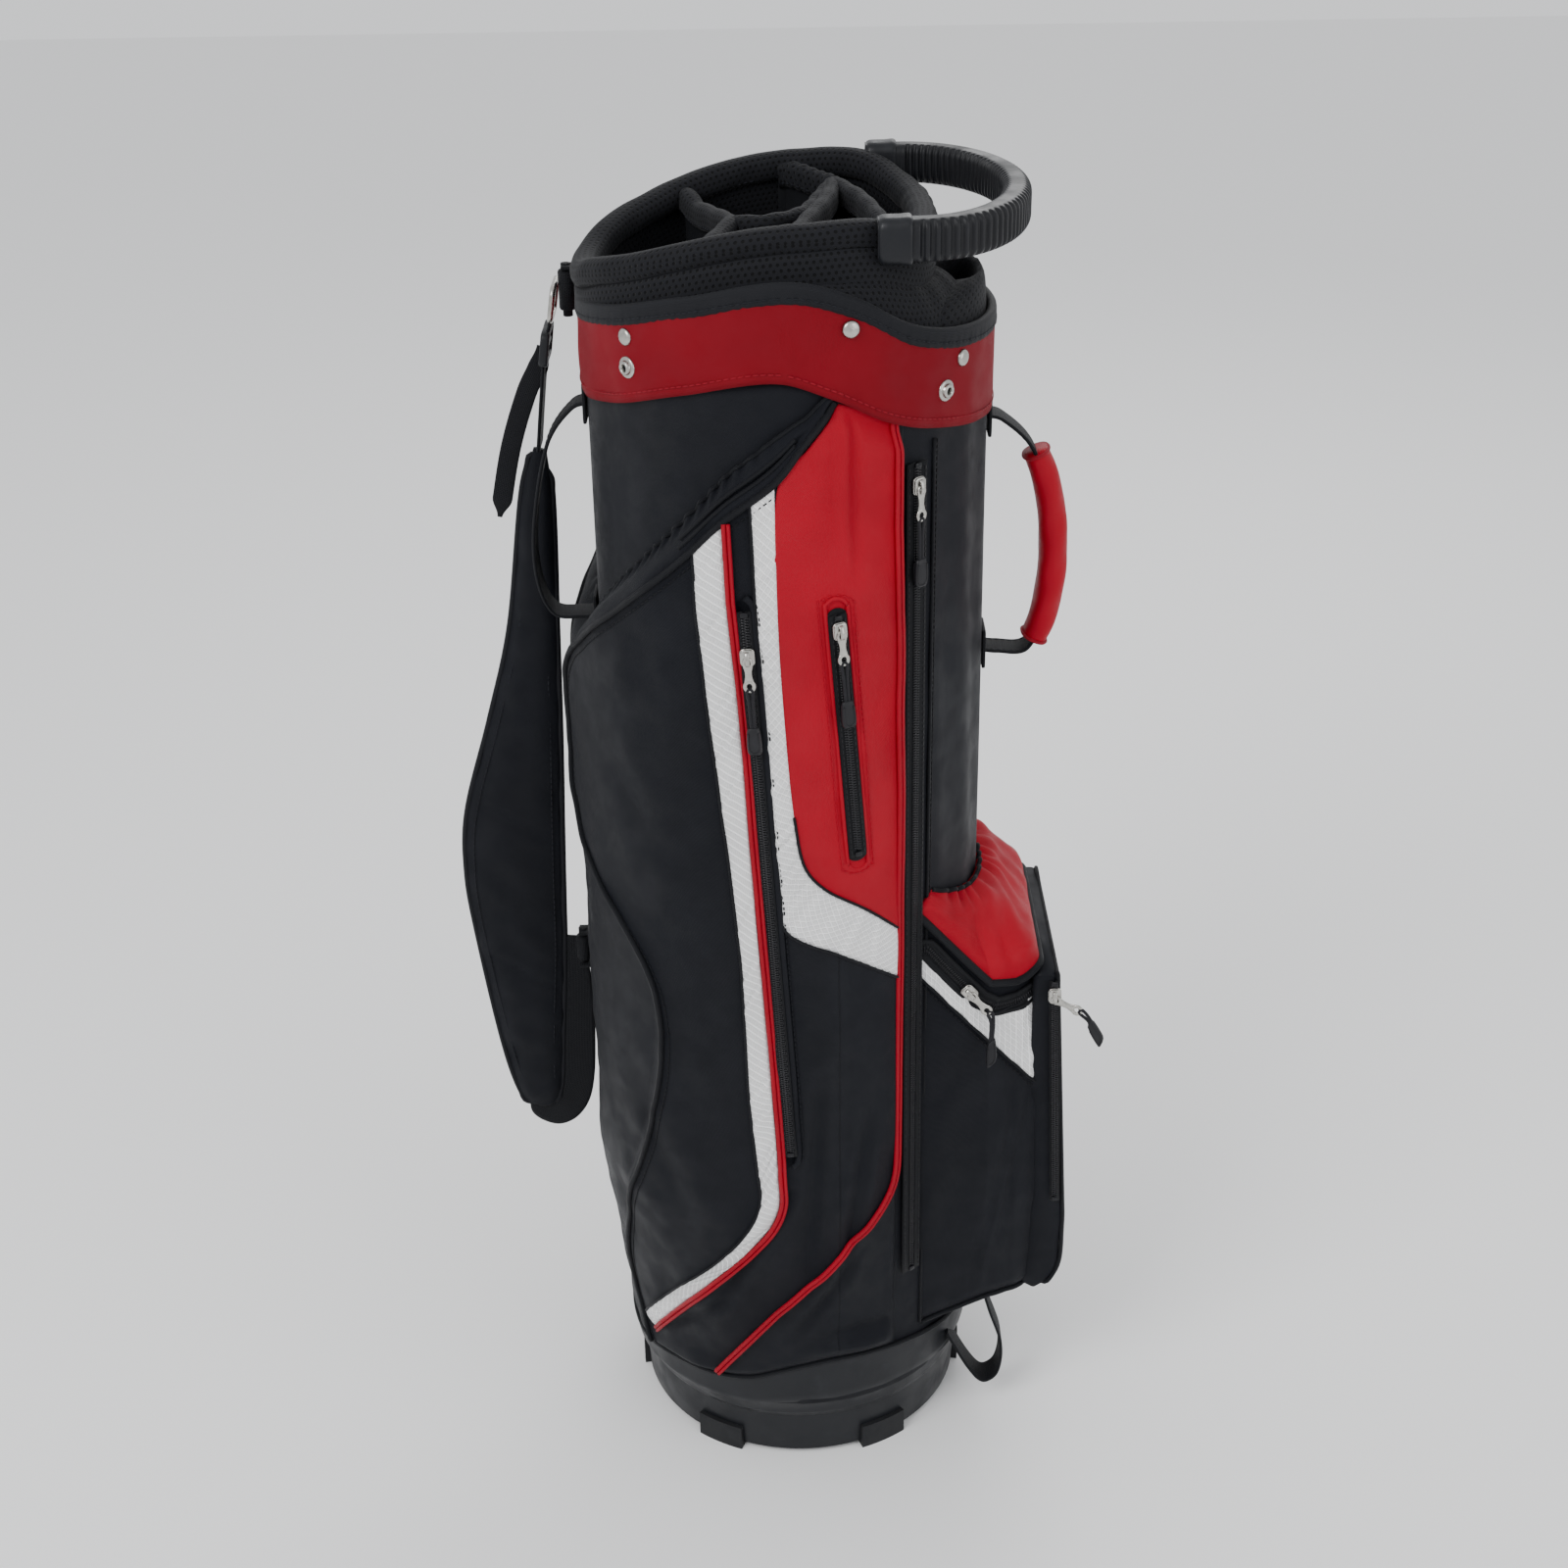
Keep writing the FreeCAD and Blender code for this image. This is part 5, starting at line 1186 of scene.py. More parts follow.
def zipPieces(name, top, bottom, out, sliderAt, width, hang=None, cord=zips["cord"], direction=(0, -1, 0),
              teeth=True, both=False):
    # tape and chain on the bag, the slider on its own body and the pull on its own, from the top of
    # the zip down
    origin, across, up, outward, length = zipFrame(top, bottom, out)
    tape, chain = [], []
    if teeth:
        for centre in (-width / 4 - 0.3, width / 4 + 0.3):
            line = evenly(np.array([(centre, 0, 0.8), (centre, -length, 0.8)]), 30)
            section = roundedBox(width / 2 - 0.6, zips["tapeThick"], 0.6, 3)
            tape.append(beam(line, section, (0, 0, 1.0)))
        count = int((length - 6) / zips["pitch"])
        y = -3 - np.arange(count) * zips["pitch"]
        for sign in (1, -1):
            spots = np.column_stack([np.full(count, sign * 0.95), y - (sign > 0) * zips["pitch"] / 2,
                                     np.full(count, 1.75)])
            axes = [np.broadcast_to(np.array(axis, float), spots.shape) for axis in ((1, 0, 0), (0, 0, 1),
                    (0, 1, 0))]
            chain.append(repeated(nugget(2.9, 1.1, 1.15), spots, *axes))
        stops = block((4.4, 3.0, 1.8), 0.8)
        for at in (-1.5, -length + 2):
            chain.append({**stops, "points": stops["points"] + [0, at, 2.0]})
        for x in (width / 2 - 1.5, 1.5 - width / 2):
            row = evenly(np.array([(x, -2, 1.7), (x, -length + 2, 1.7)]), 4)
            chain.append(stitches(row, (0, 0, 1.0), 3.8, 2.6, 0.7, 0.5))
    tab, cords, toggle = zipPull(-sliderAt, direction, hang, cord)
    slider = zipSlider(-sliderAt)
    for prefix in ("", "left_")[: 2 if both else 1]:
        label = prefix + name
        onSlider, onPull = label + "_slider", label + "_pull"
        pieces = []
        if teeth:
            pieces.append(("_zip_tape_sides", tape, "tape", "zip_black", "_zip_tape", "bag", None))
            pieces.append(("_zip_teeth", chain, "teeth", "zip_black", None, "bag", None))
        pieces.append(("_zip_runner", slider, "nickel", "nickel", "_zip_slider", onSlider, 45))
        pieces.append(("_zip_tab", tab, "nickel", "nickel", "_zip_pull", onPull, 45))
        pieces.append(("_zip_cord", cords, "cord", "pull_black", None, onPull, None))
        pieces.append(("_zip_toggle", toggle, "toggle", "pull_black", None, onPull, 55))
        for ending, parts, finish, slot, node, body, sharp in pieces:
            made = [placed(part, origin, across, up, outward) for part in parts]
            made = bothSides(made) if prefix else made
            nodes = (label + node,) if node else ()
            makePiece(label + ending, made, finish, nodes, body=body, sharp=sharp)


def onCloth(place, lift):
    angle, z = place
    reach, out = circleReach(angle, z)
    return aroundBag(angle, reach, z) + out * lift, out


def allZips():
    for name, both in (("garment", True), ("valuables", False)):
        top, bottom, sliderAt, width = zipPlaces[name]
        (top, outTop), (bottom, outBottom) = onCloth(top, 0.6), onCloth(bottom, 0.6)
        zipPieces(name, top, bottom, outTop + outBottom, sliderAt, width, both=both)
    top, bottom, sliderAt, width = zipPlaces["seam"]
    zipPieces("seam", aroundBag(top[0], shellRadius + 1.6, top[1]), aroundBag(bottom[0], shellRadius + 1.6,
            bottom[1]), aroundBag(37.15, 1, 0), sliderAt, width)


def zipWelts():
    # a folded cloth lip along the long pocket's zip, and a red frame and a bed round the short one
    top, bottom, _, width = zipPlaces["garment"]
    shift = (width / 2 + 1.2) / pocketDegree
    slope = bottom[0] - top[0]
    knots = [(top[0] + shift * 0.2, top[1] + 9), (top[0] + shift * 0.8, top[1] + 5),
             (top[0] + shift, top[1] - 4)]
    knots += [(top[0] + slope * s + shift, top[1] + (bottom[1] - top[1]) * s) for s in (0.25, 0.5, 0.75,
            0.97)]
    knots += [(bottom[0] + shift * 0.8, bottom[1] - 5), (bottom[0] + shift * 0.2, bottom[1] - 8)]
    path, out = sidePath(knots, 200, 0.0)
    made = [beam(path + out * 1.3, roundedBox(4.0, 2.4, 1.1, 4), out)]
    row, out = sidePath([(angle + shift * 0.55, z) for angle, z in knots[1:-1]], 200, 0.0)
    made.append(stitches(row + out * 0.6, out, 3.8, 2.7))
    onBothSides("long_zip_welt", made, "black")
    top, bottom, _, width = zipPlaces["valuables"]
    lean = (bottom[0] - top[0]) * pocketDegree
    length = top[1] - bottom[1]
    middle = np.array([(top[0] + bottom[0]) / 2 * pocketDegree, (top[1] + bottom[1]) / 2])
    halfWide = width / 2 + 1.4
    turn = np.linspace(0, 2 * np.pi, 25)[:-1]
    ends = np.where(np.cos(turn) > 0, 1, -1) * (length / 2 + 3)
    outline = np.stack([halfWide * np.sin(turn), ends + halfWide * np.cos(turn)], -1)
    lines = []
    for wider, longer in ((1.0, 1.0), (1.55, 1.02)):
        x, y = outline[:, 0] * wider, outline[:, 1] * longer
        lines.append(through(np.stack([x - lean * y / length, y], -1) + middle, 300, closed=True))
    edge, row = lines
    reach, out = circleReach(edge[:, 0] / pocketDegree, edge[:, 1])
    path = aroundBag(edge[:, 0] / pocketDegree, reach, edge[:, 1]) + out * 0.5
    made = [beam(path, roundedBox(2.6, 2.2, 1.0, 4), out, closed=True)]
    angle, z = row[:, 0] / pocketDegree, row[:, 1]
    made.append(stitches(sidePoint(angle, z, 1.6), sideOut(angle, z), 4.0, 2.8))
    onBothSides("short_zip_frame", made, "red")
    bed = placed(block((width + 2.4, length + 8, 2.2), width / 2 + 1.1), *zipMiddle(top, bottom))
    onBothSides("short_zip_bed", bed, "tape")


def zipMiddle(top, bottom):
    (high, outHigh), (low, outLow) = onCloth(top, 0.1), onCloth(bottom, 0.1)
    _, across, up, out, _ = zipFrame(high, low, outHigh + outLow)
    return (high + low) / 2, across, up, out


# Ball pocket, its hood and the slip pocket

ball = {
    "back": 79.5, "front": 164.0, "backHalf": 88.6, "frontHalf": 76.0, "corner": 19.0, "wall": 2.0,
    "bottom": [(78, 88), (90, 92), (133, 107), (166, 113)],
    "parting": [(78, 425), (126, 368), (145, 364), (175, 376)],
    "bulge": 2.6,
    "lean": 8.0,
    "teeth": [(84, 401), (92.5, 390), (118.5, 358.5), (130, 350), (145, 349), (166, 356)],
    "whiteLow": (380.0, 1.19),
    "hoodTop": (420.0, 22.0),
    "hoodSpan": 44.0,
    "hoodLift": 4.0,
    "gathers": 15,
    "zipTop": (92.5, 390.0),
    "zipBottom": (118.5, 358.5),
}


def ballPlan(count, grow=0.0):
    # the pocket's outline seen from above, from the shell on the far side round the front to the near side
    back, front = ball["back"] - 6, ball["front"] + grow
    half, frontHalf = ball["backHalf"] + grow, ball["frontHalf"] + grow
    turn = np.linspace(0, np.pi / 2, 9)
    corner = ball["corner"]
    side = [(back + (front - corner - back) * s, half + (frontHalf + 1.4 - half) * s) for s in np.linspace(0,
            1, 9)[:-1]]
    arc = [(front - corner + corner * np.sin(t), frontHalf - corner + corner * np.cos(t)) for t in turn]
    near = np.array(side + arc)
    flat = np.vstack([near, near[::-1] * [1, -1]])
    return evenly(flat, count)


def planOut(flat):
    along = unit(np.gradient(flat, axis=0))
    return np.column_stack([-along[:, 1], along[:, 0], np.zeros(len(flat))])


def ballLean(x):
    # how far the top of the wall leans in, near the front
    return ball["lean"] * ramp(x, 108, 158)


def ballSurface(flat, out, z, lift=0.0, seed=71):
    # the wall at each plan place: bulged between its edges, rounded in at the bottom, with slack
    # upright folds
    low = np.interp(flat[:, 0], *np.array(ball["bottom"]).T)[:, None]
    high = np.interp(flat[:, 0], *np.array(ball["parting"]).T)[:, None]
    t = np.clip((z - low) / (high - low), 0, 1)
    run = runLength(flat)[:, None]
    swell = ball["bulge"] * np.sin(np.pi * t)
    fold = ripple(run + 0 * z, z * 0.35, 12, 26, 80, 0.8, seed) + ripple(run + 0 * z, z, 10, 20, 60, 0.3,
                                                                         seed + 1)
    middle = 70 * np.abs(np.sin(run / 46 + z / 260.0))
    crease = -1.5 * bell(middle - 8, 6) * np.sin(np.pi * t) ** 0.6
    roundOff = -13 * (1 - np.sqrt(np.clip(1 - (1 - np.clip((z - low) / 14, 0, 1)) ** 2, 0, 1)))
    swell = swell - ballLean(flat[:, :1]) * ramp(t, 0.55, 1.0)
    along = swell + (fold + crease) * np.sin(np.pi * np.clip(t, 0.02, 0.98)) ** 0.4 + roundOff + lift
    base = np.column_stack([flat, np.zeros(len(flat))])
    point = base[:, None] + out[:, None] * along[..., None]
    return np.concatenate([point[..., :2], np.broadcast_to(z, along.shape)[..., None]], -1)


def ballPocket():
    flat = ballPlan(240)
    out = planOut(flat)
    low = np.interp(flat[:, 0], *np.array(ball["bottom"]).T)
    high = np.interp(flat[:, 0], *np.array(ball["parting"]).T)
    t = np.linspace(0, 1, 90)[None]
    z = low[:, None] + (high - low)[:, None] * t**1.15
    outer = ballSurface(flat, out, z)
    inner = outer - out[:, None] * ball["wall"]
    body = slab(outer, inner)
    floor = []
    for k in np.linspace(0, 1, 8):
        drawn = np.column_stack([flat[:, 0] * (1 - k) + k * 100, flat[:, 1] * (1 - 0.9 * k), low])
        floor.append(drawn - out * 12 * (1 - k))
    floor = np.stack(floor, 1)
    floor[..., 2] = np.interp(floor[..., 0], *np.array(ball["bottom"]).T)
    under = slab(floor, floor + [0, 0, 1.6])
    shell = makePiece("ball_pocket_body", [body, under], "black", ("ball_pocket_case",))
    line, slope = ball["whiteLow"]
    top = np.interp(flat[:, 0], *np.array(ball["parting"]).T) - ballBandDepth(flat[:, 0])
    bottom = line - (flat[:, 0] - 79.5) * slope
    share = np.linspace(0, 1, 34)[None]
    zBand = top[:, None] + (bottom - top)[:, None] * share
    puff = 0.8 + 0.9 * (1 - np.abs(2 * share - 1) ** 3) + ripple(runLength(flat)[:, None], zBand, 14, 9, 34,
                                                                 0.4, 77)
    white = slab(ballSurface(flat, out, zBand, puff), ballSurface(flat, out, zBand, -0.8))
    makePiece("ball_pocket_white_band", white, "square")
    edging = [pipe(ballSurface(flat, out, edge[:, None], 1.1)[:, 0], out, 1.0, 6) for edge in (bottom, top)]
    edging.append(pipe(ballSurface(flat, out, (low + 3.5)[:, None], 2.0)[:, 0], out, 1.6, 8))
    edging.append(stitches(ballSurface(flat, out, (bottom - 5)[:, None], 0.5)[:, 0], out, 4.0, 2.8))
    makePiece("ball_pocket_edging", edging, "edging")
    zipLine = np.interp(flat[:, 0], *np.array(ball["teeth"]).T)
    path = ballSurface(flat, out, zipLine[:, None], 1.4)[:, 0]
    along = unit(np.gradient(path, axis=0))
    dense = evenly(path, int(runLength(path)[-1] / 1.7))
    alongDense = unit(np.gradient(dense, axis=0))
    outDense = np.stack([np.interp(runLength(dense), runLength(path), out[:, c]) for c in range(3)], -1)
    sideDense = unit(np.cross(alongDense, outDense))
    chain = [repeated(nugget(2.9, 1.1, 1.2), dense + sideDense * s, sideDense, outDense, alongDense)
             for s in (0.95, -0.95)]
    makePiece("ball_zip_teeth", chain, "teeth")
    tape = beam(path - out * 0.7, roundedBox(12, 1.4, 0.6, 3), out)
    made = [tape]
    for shift in (5.8, -5.8):
        lip = path + np.cross(along, out) * shift - out * 0.2
        made.append(beam(lip, roundedBox(3.2, 2.2, 1.0, 4), out))
    makePiece("ball_zip_tape_run", made, "tape", ("ball_zip_tape",))


def ballBandDepth(x):
    # how far the black zip band reaches down from the hood's edge
    return 24 - 7 * ramp(x, 118, 150)


def hoodGrid(lift):
    # the hood: from its seam on the shell, over a curve, down to the lower edge that follows the
    # pocket's plan
    flat = ballPlan(181, 2.4)
    out = planOut(flat)
    edgeZ = np.interp(flat[:, 0], *np.array(ball["parting"]).T) + 2.5
    lower = np.column_stack([flat, edgeZ]) + out * (1.4 + lift - ballLean(flat[:, :1]))
    s = np.linspace(1, -1, 181)
    topZ = ball["hoodTop"][0] + ball["hoodTop"][1] * s**2
    upper = aroundBag(90 + ball["hoodSpan"] * s, shellRadius + 1.5 + lift, topZ)
    reach = np.clip((flat[:, 0] - 84) / 70, 0, 1)[:, None]
    knee = upper + (lower - upper) * 0.5
    knee[:, 2] += 4 + 9 * reach[:, 0]
    knee[:, :2] += out[:, :2] * (2 + 4 * reach)
    t = np.linspace(0, 1, 46)[None, :, None]
    curve = (1 - t) ** 2 * upper[:, None] + 2 * t * (1 - t) * knee[:, None] + t**2 * lower[:, None]
    run = runLength(flat)[:, None]
    tt = t[..., 0]
    gather = np.cos(2 * np.pi * ball["gathers"] * (s[:, None] + 0.04 * np.sin(9 * s[:, None])) / 2)
    slack = 1.9 * gather * bell(tt - 0.06, 0.2) + ripple(run, tt * 90, 12, 22, 70, 0.8, 81) * np.sin(np.pi
            * tt) ** 0.7
    dip = -2.4 * bell(tt - 0.5, 0.16) * reach + 1.5 * bell(tt - 0.82, 0.1) * reach
    normal = unit(np.cross(np.gradient(curve, axis=0), np.gradient(curve, axis=1)))
    normal = normal * np.sign((normal * (curve - [90, 0, 330])).sum(-1, keepdims=True))
    return curve + normal * ((slack + dip + ball["hoodLift"] * np.sin(np.pi * tt) * 0.6) + lift)[...,
            None], out


def hood():
    # the cover and its bound edge are made on no body, with their placing baked into their meshes
    grid, out = hoodGrid(0.0)
    inner, _ = hoodGrid(-1.4)
    cover = makePiece("ball_pocket_hood", slab(grid, inner), "red", ("ball_pocket_lid",),
                      body=None)
    rim = grid[:, -1]
    binding = makePiece("hood_binding", pipe(rim, out, 2.6, 10), "edging", body=None)
    top = grid[:, 1]
    makePiece("hood_seam", pipe(top, unit(top * [1, 1, 0]), 1.5, 8), "edging")
    for piece in (cover, binding):
        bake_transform(piece)


slip = {
    "half": 72.0,
    "corner": 5.0,
    "top": 369.0,
    "bottom": 112.5,
    "depth": [(112.5, 2), (114, 7), (118, 11.5), (124, 15), (131, 17.6), (140, 19), (174, 19), (369, 8)],
    "bulge": 1.6,
    "zipTop": (168, -73.6, 366),
    "zipBottom": (175, -73.6, 190),
}


def slipPocket():
    # the flat pocket on the front: a rounded rectangle outline whose depth changes with height
    z = np.linspace(slip["bottom"], slip["top"], 80)
    depth = np.interp(z, *np.array(slip["depth"]).T)
    rings = []
    for at, deep in zip(z, depth):
        t = (at - slip["bottom"]) / (slip["top"] - slip["bottom"])
        outline = roundedBox(2 * deep, 2 * slip["half"], slip["corner"], 8)
        across = outline[:, 1] / slip["half"]
        bulge = slip["bulge"] * np.sin(np.pi * t) * (1 - across**2) + ripple(outline[:, 1], at, 10, 22, 70,
                0.55, 91)
        x = ball["front"] + np.maximum(outline[:, 0], -8) + bulge * (outline[:, 0] > deep
                                                                     - slip["corner"]) - 1
        rings.append(np.column_stack([x, outline[:, 1], np.full(len(outline), at)]))
    body = outwards(skin(np.stack(rings)))
    pocketPiece = makePiece("slip_pocket_body", body, "black", ("front_slip_pocket",))
    x = ball["front"] + depth - 1.4
    half = slip["half"] - 1
    side = np.column_stack([x, np.full(len(z), -half), z])
    y = np.linspace(-half, half, 20)[1:-1]
    foot, head = (np.column_stack([np.full(18, x[k]), y, np.full(18, level)]) for k, level in ((0, z[0] + 1),
            (-1, z[-1] - 1)))
    path = through(np.vstack([side[::-1], foot, side * [1, -1, 1], head[::-1]])[::3], 400, closed=True)
    lines = [pipe(path, (1.0, 0, 0), 1.5, 8, closed=True)]
    lines.append(stitches(path * [1, 0.93, 1] + [0.4, 0, 0], (1.0, 0, 0), 4.0, 2.8))
    makePiece("slip_pocket_edging", lines, "edging")


def ballZips():
    out = unit(np.array([12.0, -82.0, 0]))
    ends = []
    for x, z in (ball["zipTop"], ball["zipBottom"]):
        ends.append(np.array([x, -88 + 12 * (x - 82) / 82, z]) + out * 1.6)
    _, across, up, outward, _ = zipFrame(*ends, out)
    hang = np.array([-across[2], -up[2], -outward[2] + 0.15])  # straight down, and a little off the cloth
    zipPieces("ball", *ends, out, 24.0, 12, hang=hang, cord=24.0, teeth=False)
    out = (0, -1, 0)
    _, across, up, outward, _ = zipFrame(slip["zipTop"], slip["zipBottom"], out)
    aim = np.array([0.5, -0.1, -0.85])
    zipPieces("slip", slip["zipTop"], slip["zipBottom"], out, 4.0, 7, hang=(aim @ across, aim @ up,
                                                                            aim @ outward), cord=13.0,
              direction=(0.85, -0.35, 0.3))


# Side handles, the shoulder strap and the base loop

handles = {"carry": [(117, 727), (130, 724), (150, 703), (163, 655), (162, 610), (150, 574), (130, 572),
                     (117, 574)], "grip": [(151, 702), (158.5, 682), (163.5, 652), (163.5, 618), (159, 592),
                                           (154, 578)], "back": [(-117, 739), (-130, 735), (-146, 712),
                                                                 (-157, 660), (-157, 624), (-148, 602),
                                                                 (-130, 600), (-117, 601)], "width": 20.0,
           "thick": 2.2,}


def inPlane(points, y=0.0):
    p = np.asarray(points, float)
    return np.column_stack([p[:, 0], np.full(len(p), y), p[:, 1]])


def band(points, width, thick, count=160, y=0.0, closed=False):
    # flat webbing standing in an X-Z plane, with its width across it
    path = through(inPlane(points, y), count, closed)
    return beam(path, roundedBox(thick, width, thick * 0.45, 4), (0, 1.0, 0), closed), path


def handlePieces():
    for name, joint, start, end in (("carry", "carry_handle", (0.121, 0, 0.65), (0.134, 0, 0.65)),
                                    ("back", "back_handle", (-0.121, 0, 0.67), (-0.134, 0, 0.67))):
        strap, path = band(handles[name], handles["width"], handles["thick"])
        rows = []
        for side in (1, -1):
            line = path + [0, side * (handles["width"] / 2 - 2.2), 0]
            along = unit(np.gradient(path, axis=0))
            over = np.cross((0, 1.0, 0), along)
            rows.append(stitches(line + over * handles["thick"] / 2, over, 4.0, 2.8, 0.8, 0.5))
        web = makePiece(name + "_handle_strap", strap, "webbing", (name + "_handle_ends",
                name + "_handle_webbing"), body=None)
        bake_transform(web)
        sewn = makePiece(name + "_handle_stitches", rows, "blackThread", body=None)
        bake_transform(sewn)
        patches = []
        sign = 1 if name == "carry" else -1
        for _, z in (handles[name][0], handles[name][-1]):
            patch = block((24, 26, 2.4), 2.0)
            origin = np.array([sign * (shellRadius + 1.4), 0, z])
            patches.append(placed(patch, origin, np.array([0, 1.0, 0]), np.array([0, 0, 1.0]),
                                  np.array([sign * 1.0, 0, 0])))
        makePiece(name + "_handle_patches", patches, "webbing")
    path = through(inPlane(handles["grip"]), 120)
    along = unit(np.gradient(path, axis=0))
    over = np.cross((0, 1.0, 0), along)
    run = runLength(path) / runLength(path)[-1]
    full = 0.80 + 0.2 * np.sin(np.pi * np.clip(run, 0.02, 0.98)) ** 0.35
    a = np.arange(32) * 2 * np.pi / 32
    outline = signedPower(np.stack([np.cos(a), np.sin(a)], -1), 0.85) * [9.0, 12.5]
    wrinkle = 1 + 0.03 * np.sin(a * 3 + run[:, None] * 25)[..., None] * bell(run[:, None, None] - 0.5, 0.6)
    section = outline * full[:, None, None] * wrinkle
    section[:, :, 0] = np.clip(section[:, :, 0], -8.6, 8.6)
    sleeve = makePiece("carry_handle_sleeve", beam(path, section, (0, 1.0, 0)), "red",
                       ("carry_handle_grip",), body="carry_handle")
    trim = []
    for side in (1, -1):
        line = path + [0, side * 11.6, 0] * (full[:, None]) + over * 1.0
        trim.append(stitches(line, over, 3.8, 2.6, 0.9, 0.7))
    for k in (1, -2):
        ring = sweep(path, section * 1.03, (0, 1.0, 0))[k]
        trim.append(pipe(ring, along[k], 1.1, 6, closed=True))
    makePiece("carry_handle_seams", trim, "redThread", body="carry_handle")


strap = {"y": 24.0, "outer": [(-158, 700), (-167, 672), (-181, 580), (-199, 513), (-219, 445), (-223, 400),
                              (-220, 355), (-207, 255), (-196, 212), (-185, 205)], "inner": [(-150, 698),
        (-148, 665), (-150.5, 580), (-153, 500), (-156, 430), (-158, 380), (-160, 330), (-165, 262),
        (-168, 225), (-174, 207)], "padHalf": 6.4, "upper": [(-142, 781), (-146, 765), (-150, 735),
                                                             (-154, 701)],
         "tail": [(-148, 764), (-151.5, 752), (-160, 735), (-172, 700), (-182, 655)],
         "lowerOuter": [(-190, 225), (-191, 200), (-174, 189), (-158, 196), (-147, 217), (-142.5, 260),
                        (-142.5, 310), (-147, 346)], "lowerInner": [(-178, 223), (-175, 217), (-172, 214),
                                                                    (-169, 217), (-166.5, 228), (-164, 262),
                                                                    (-161, 305), (-158, 347)],
         "webWidth": 24.0, "slideHeight": 766.0, "slide": [(9, -14), (9, 0), (9, 14), (6, 16), (-6, 16),
                                                           (-9, 14), (-9, 0), (-9, -14), (-6, -16), (6, -16)],
         "anchors": [(-131.5, 799), (-146.5, 338)],}


def strapPad():
    # the pad: rows between its two edges, each row a pillow section that is thin where it is bound
    pairs = through(np.hstack([np.array(strap["outer"], float), np.array(strap["inner"], float)]), 200)
    outerEdge, innerEdge = inPlane(pairs[:, :2], strap["y"]), inPlane(pairs[:, 2:], strap["y"])
    w = np.linspace(0, 1, 21)
    flat = outerEdge[:, None] + (innerEdge - outerEdge)[:, None] * w[None, :, None]
    run = runLength(outerEdge)
    wide = np.linalg.norm(outerEdge - innerEdge, axis=1)
    ends = ramp(run, 0, 16) * ramp(run[-1] - run, 0, 16)
    half = 1.2 + (strap["padHalf"] - 1.8) * np.clip(1 - np.abs(2 * w - 1) ** 3.2, 0, 1)[None] * (0.35 + 0.65
            * ends[:, None])
    across = (w[None] - 0.5) * wide[:, None]
    slack = ripple(run[:, None], across, 12, 24, 80, 0.4, 101) * ends[:, None]
    for centre in (120, 262, 380):
        slack = slack - 0.9 * bell(run[:, None] - centre - across * 0.3, 5) * (1 - np.abs(2 * w - 1) ** 2)
    top = flat + np.stack([0 * half, -(half + slack), 0 * half], -1)
    low = flat + np.stack([0 * half, half + slack, 0 * half], -1)
    pad = makePiece("shoulder_pad", slab(top, low), "black", ("strap_pad",), body="strap")
    rimLine = np.vstack([outerEdge[2:-2:4], innerEdge[-2:2:-4]])
    trim = [pipe(through(rimLine, 420, closed=True), (0, 1.0, 0), 2.1, 8, closed=True)]
    makePiece("shoulder_pad_binding", trim, "binding", body="strap")
    rows = []
    inwards = unit(innerEdge - outerEdge) * 6.5
    for line in (outerEdge + inwards, innerEdge - inwards):
        for side in (1, -1):
            rows.append(stitches(line[8:-8] - [0, side * 4.1, 0], (0, -side, 0), 4.2, 3.0))
    makePiece("shoulder_pad_stitches", rows, "blackThread", body="strap")


def edgeWeb(outer, inner, thick, y):
    # webbing that lies in the X-Z plane between two edges
    pairs = through(np.hstack([np.array(outer, float), np.array(inner, float)]), 160)
    a, b = inPlane(pairs[:, :2], y), inPlane(pairs[:, 2:], y)
    w = np.linspace(0, 1, 9)
    flat = a[:, None] + (b - a)[:, None] * w[None, :, None]
    return slab(flat - [0, thick / 2, 0], flat + [0, thick / 2, 0])


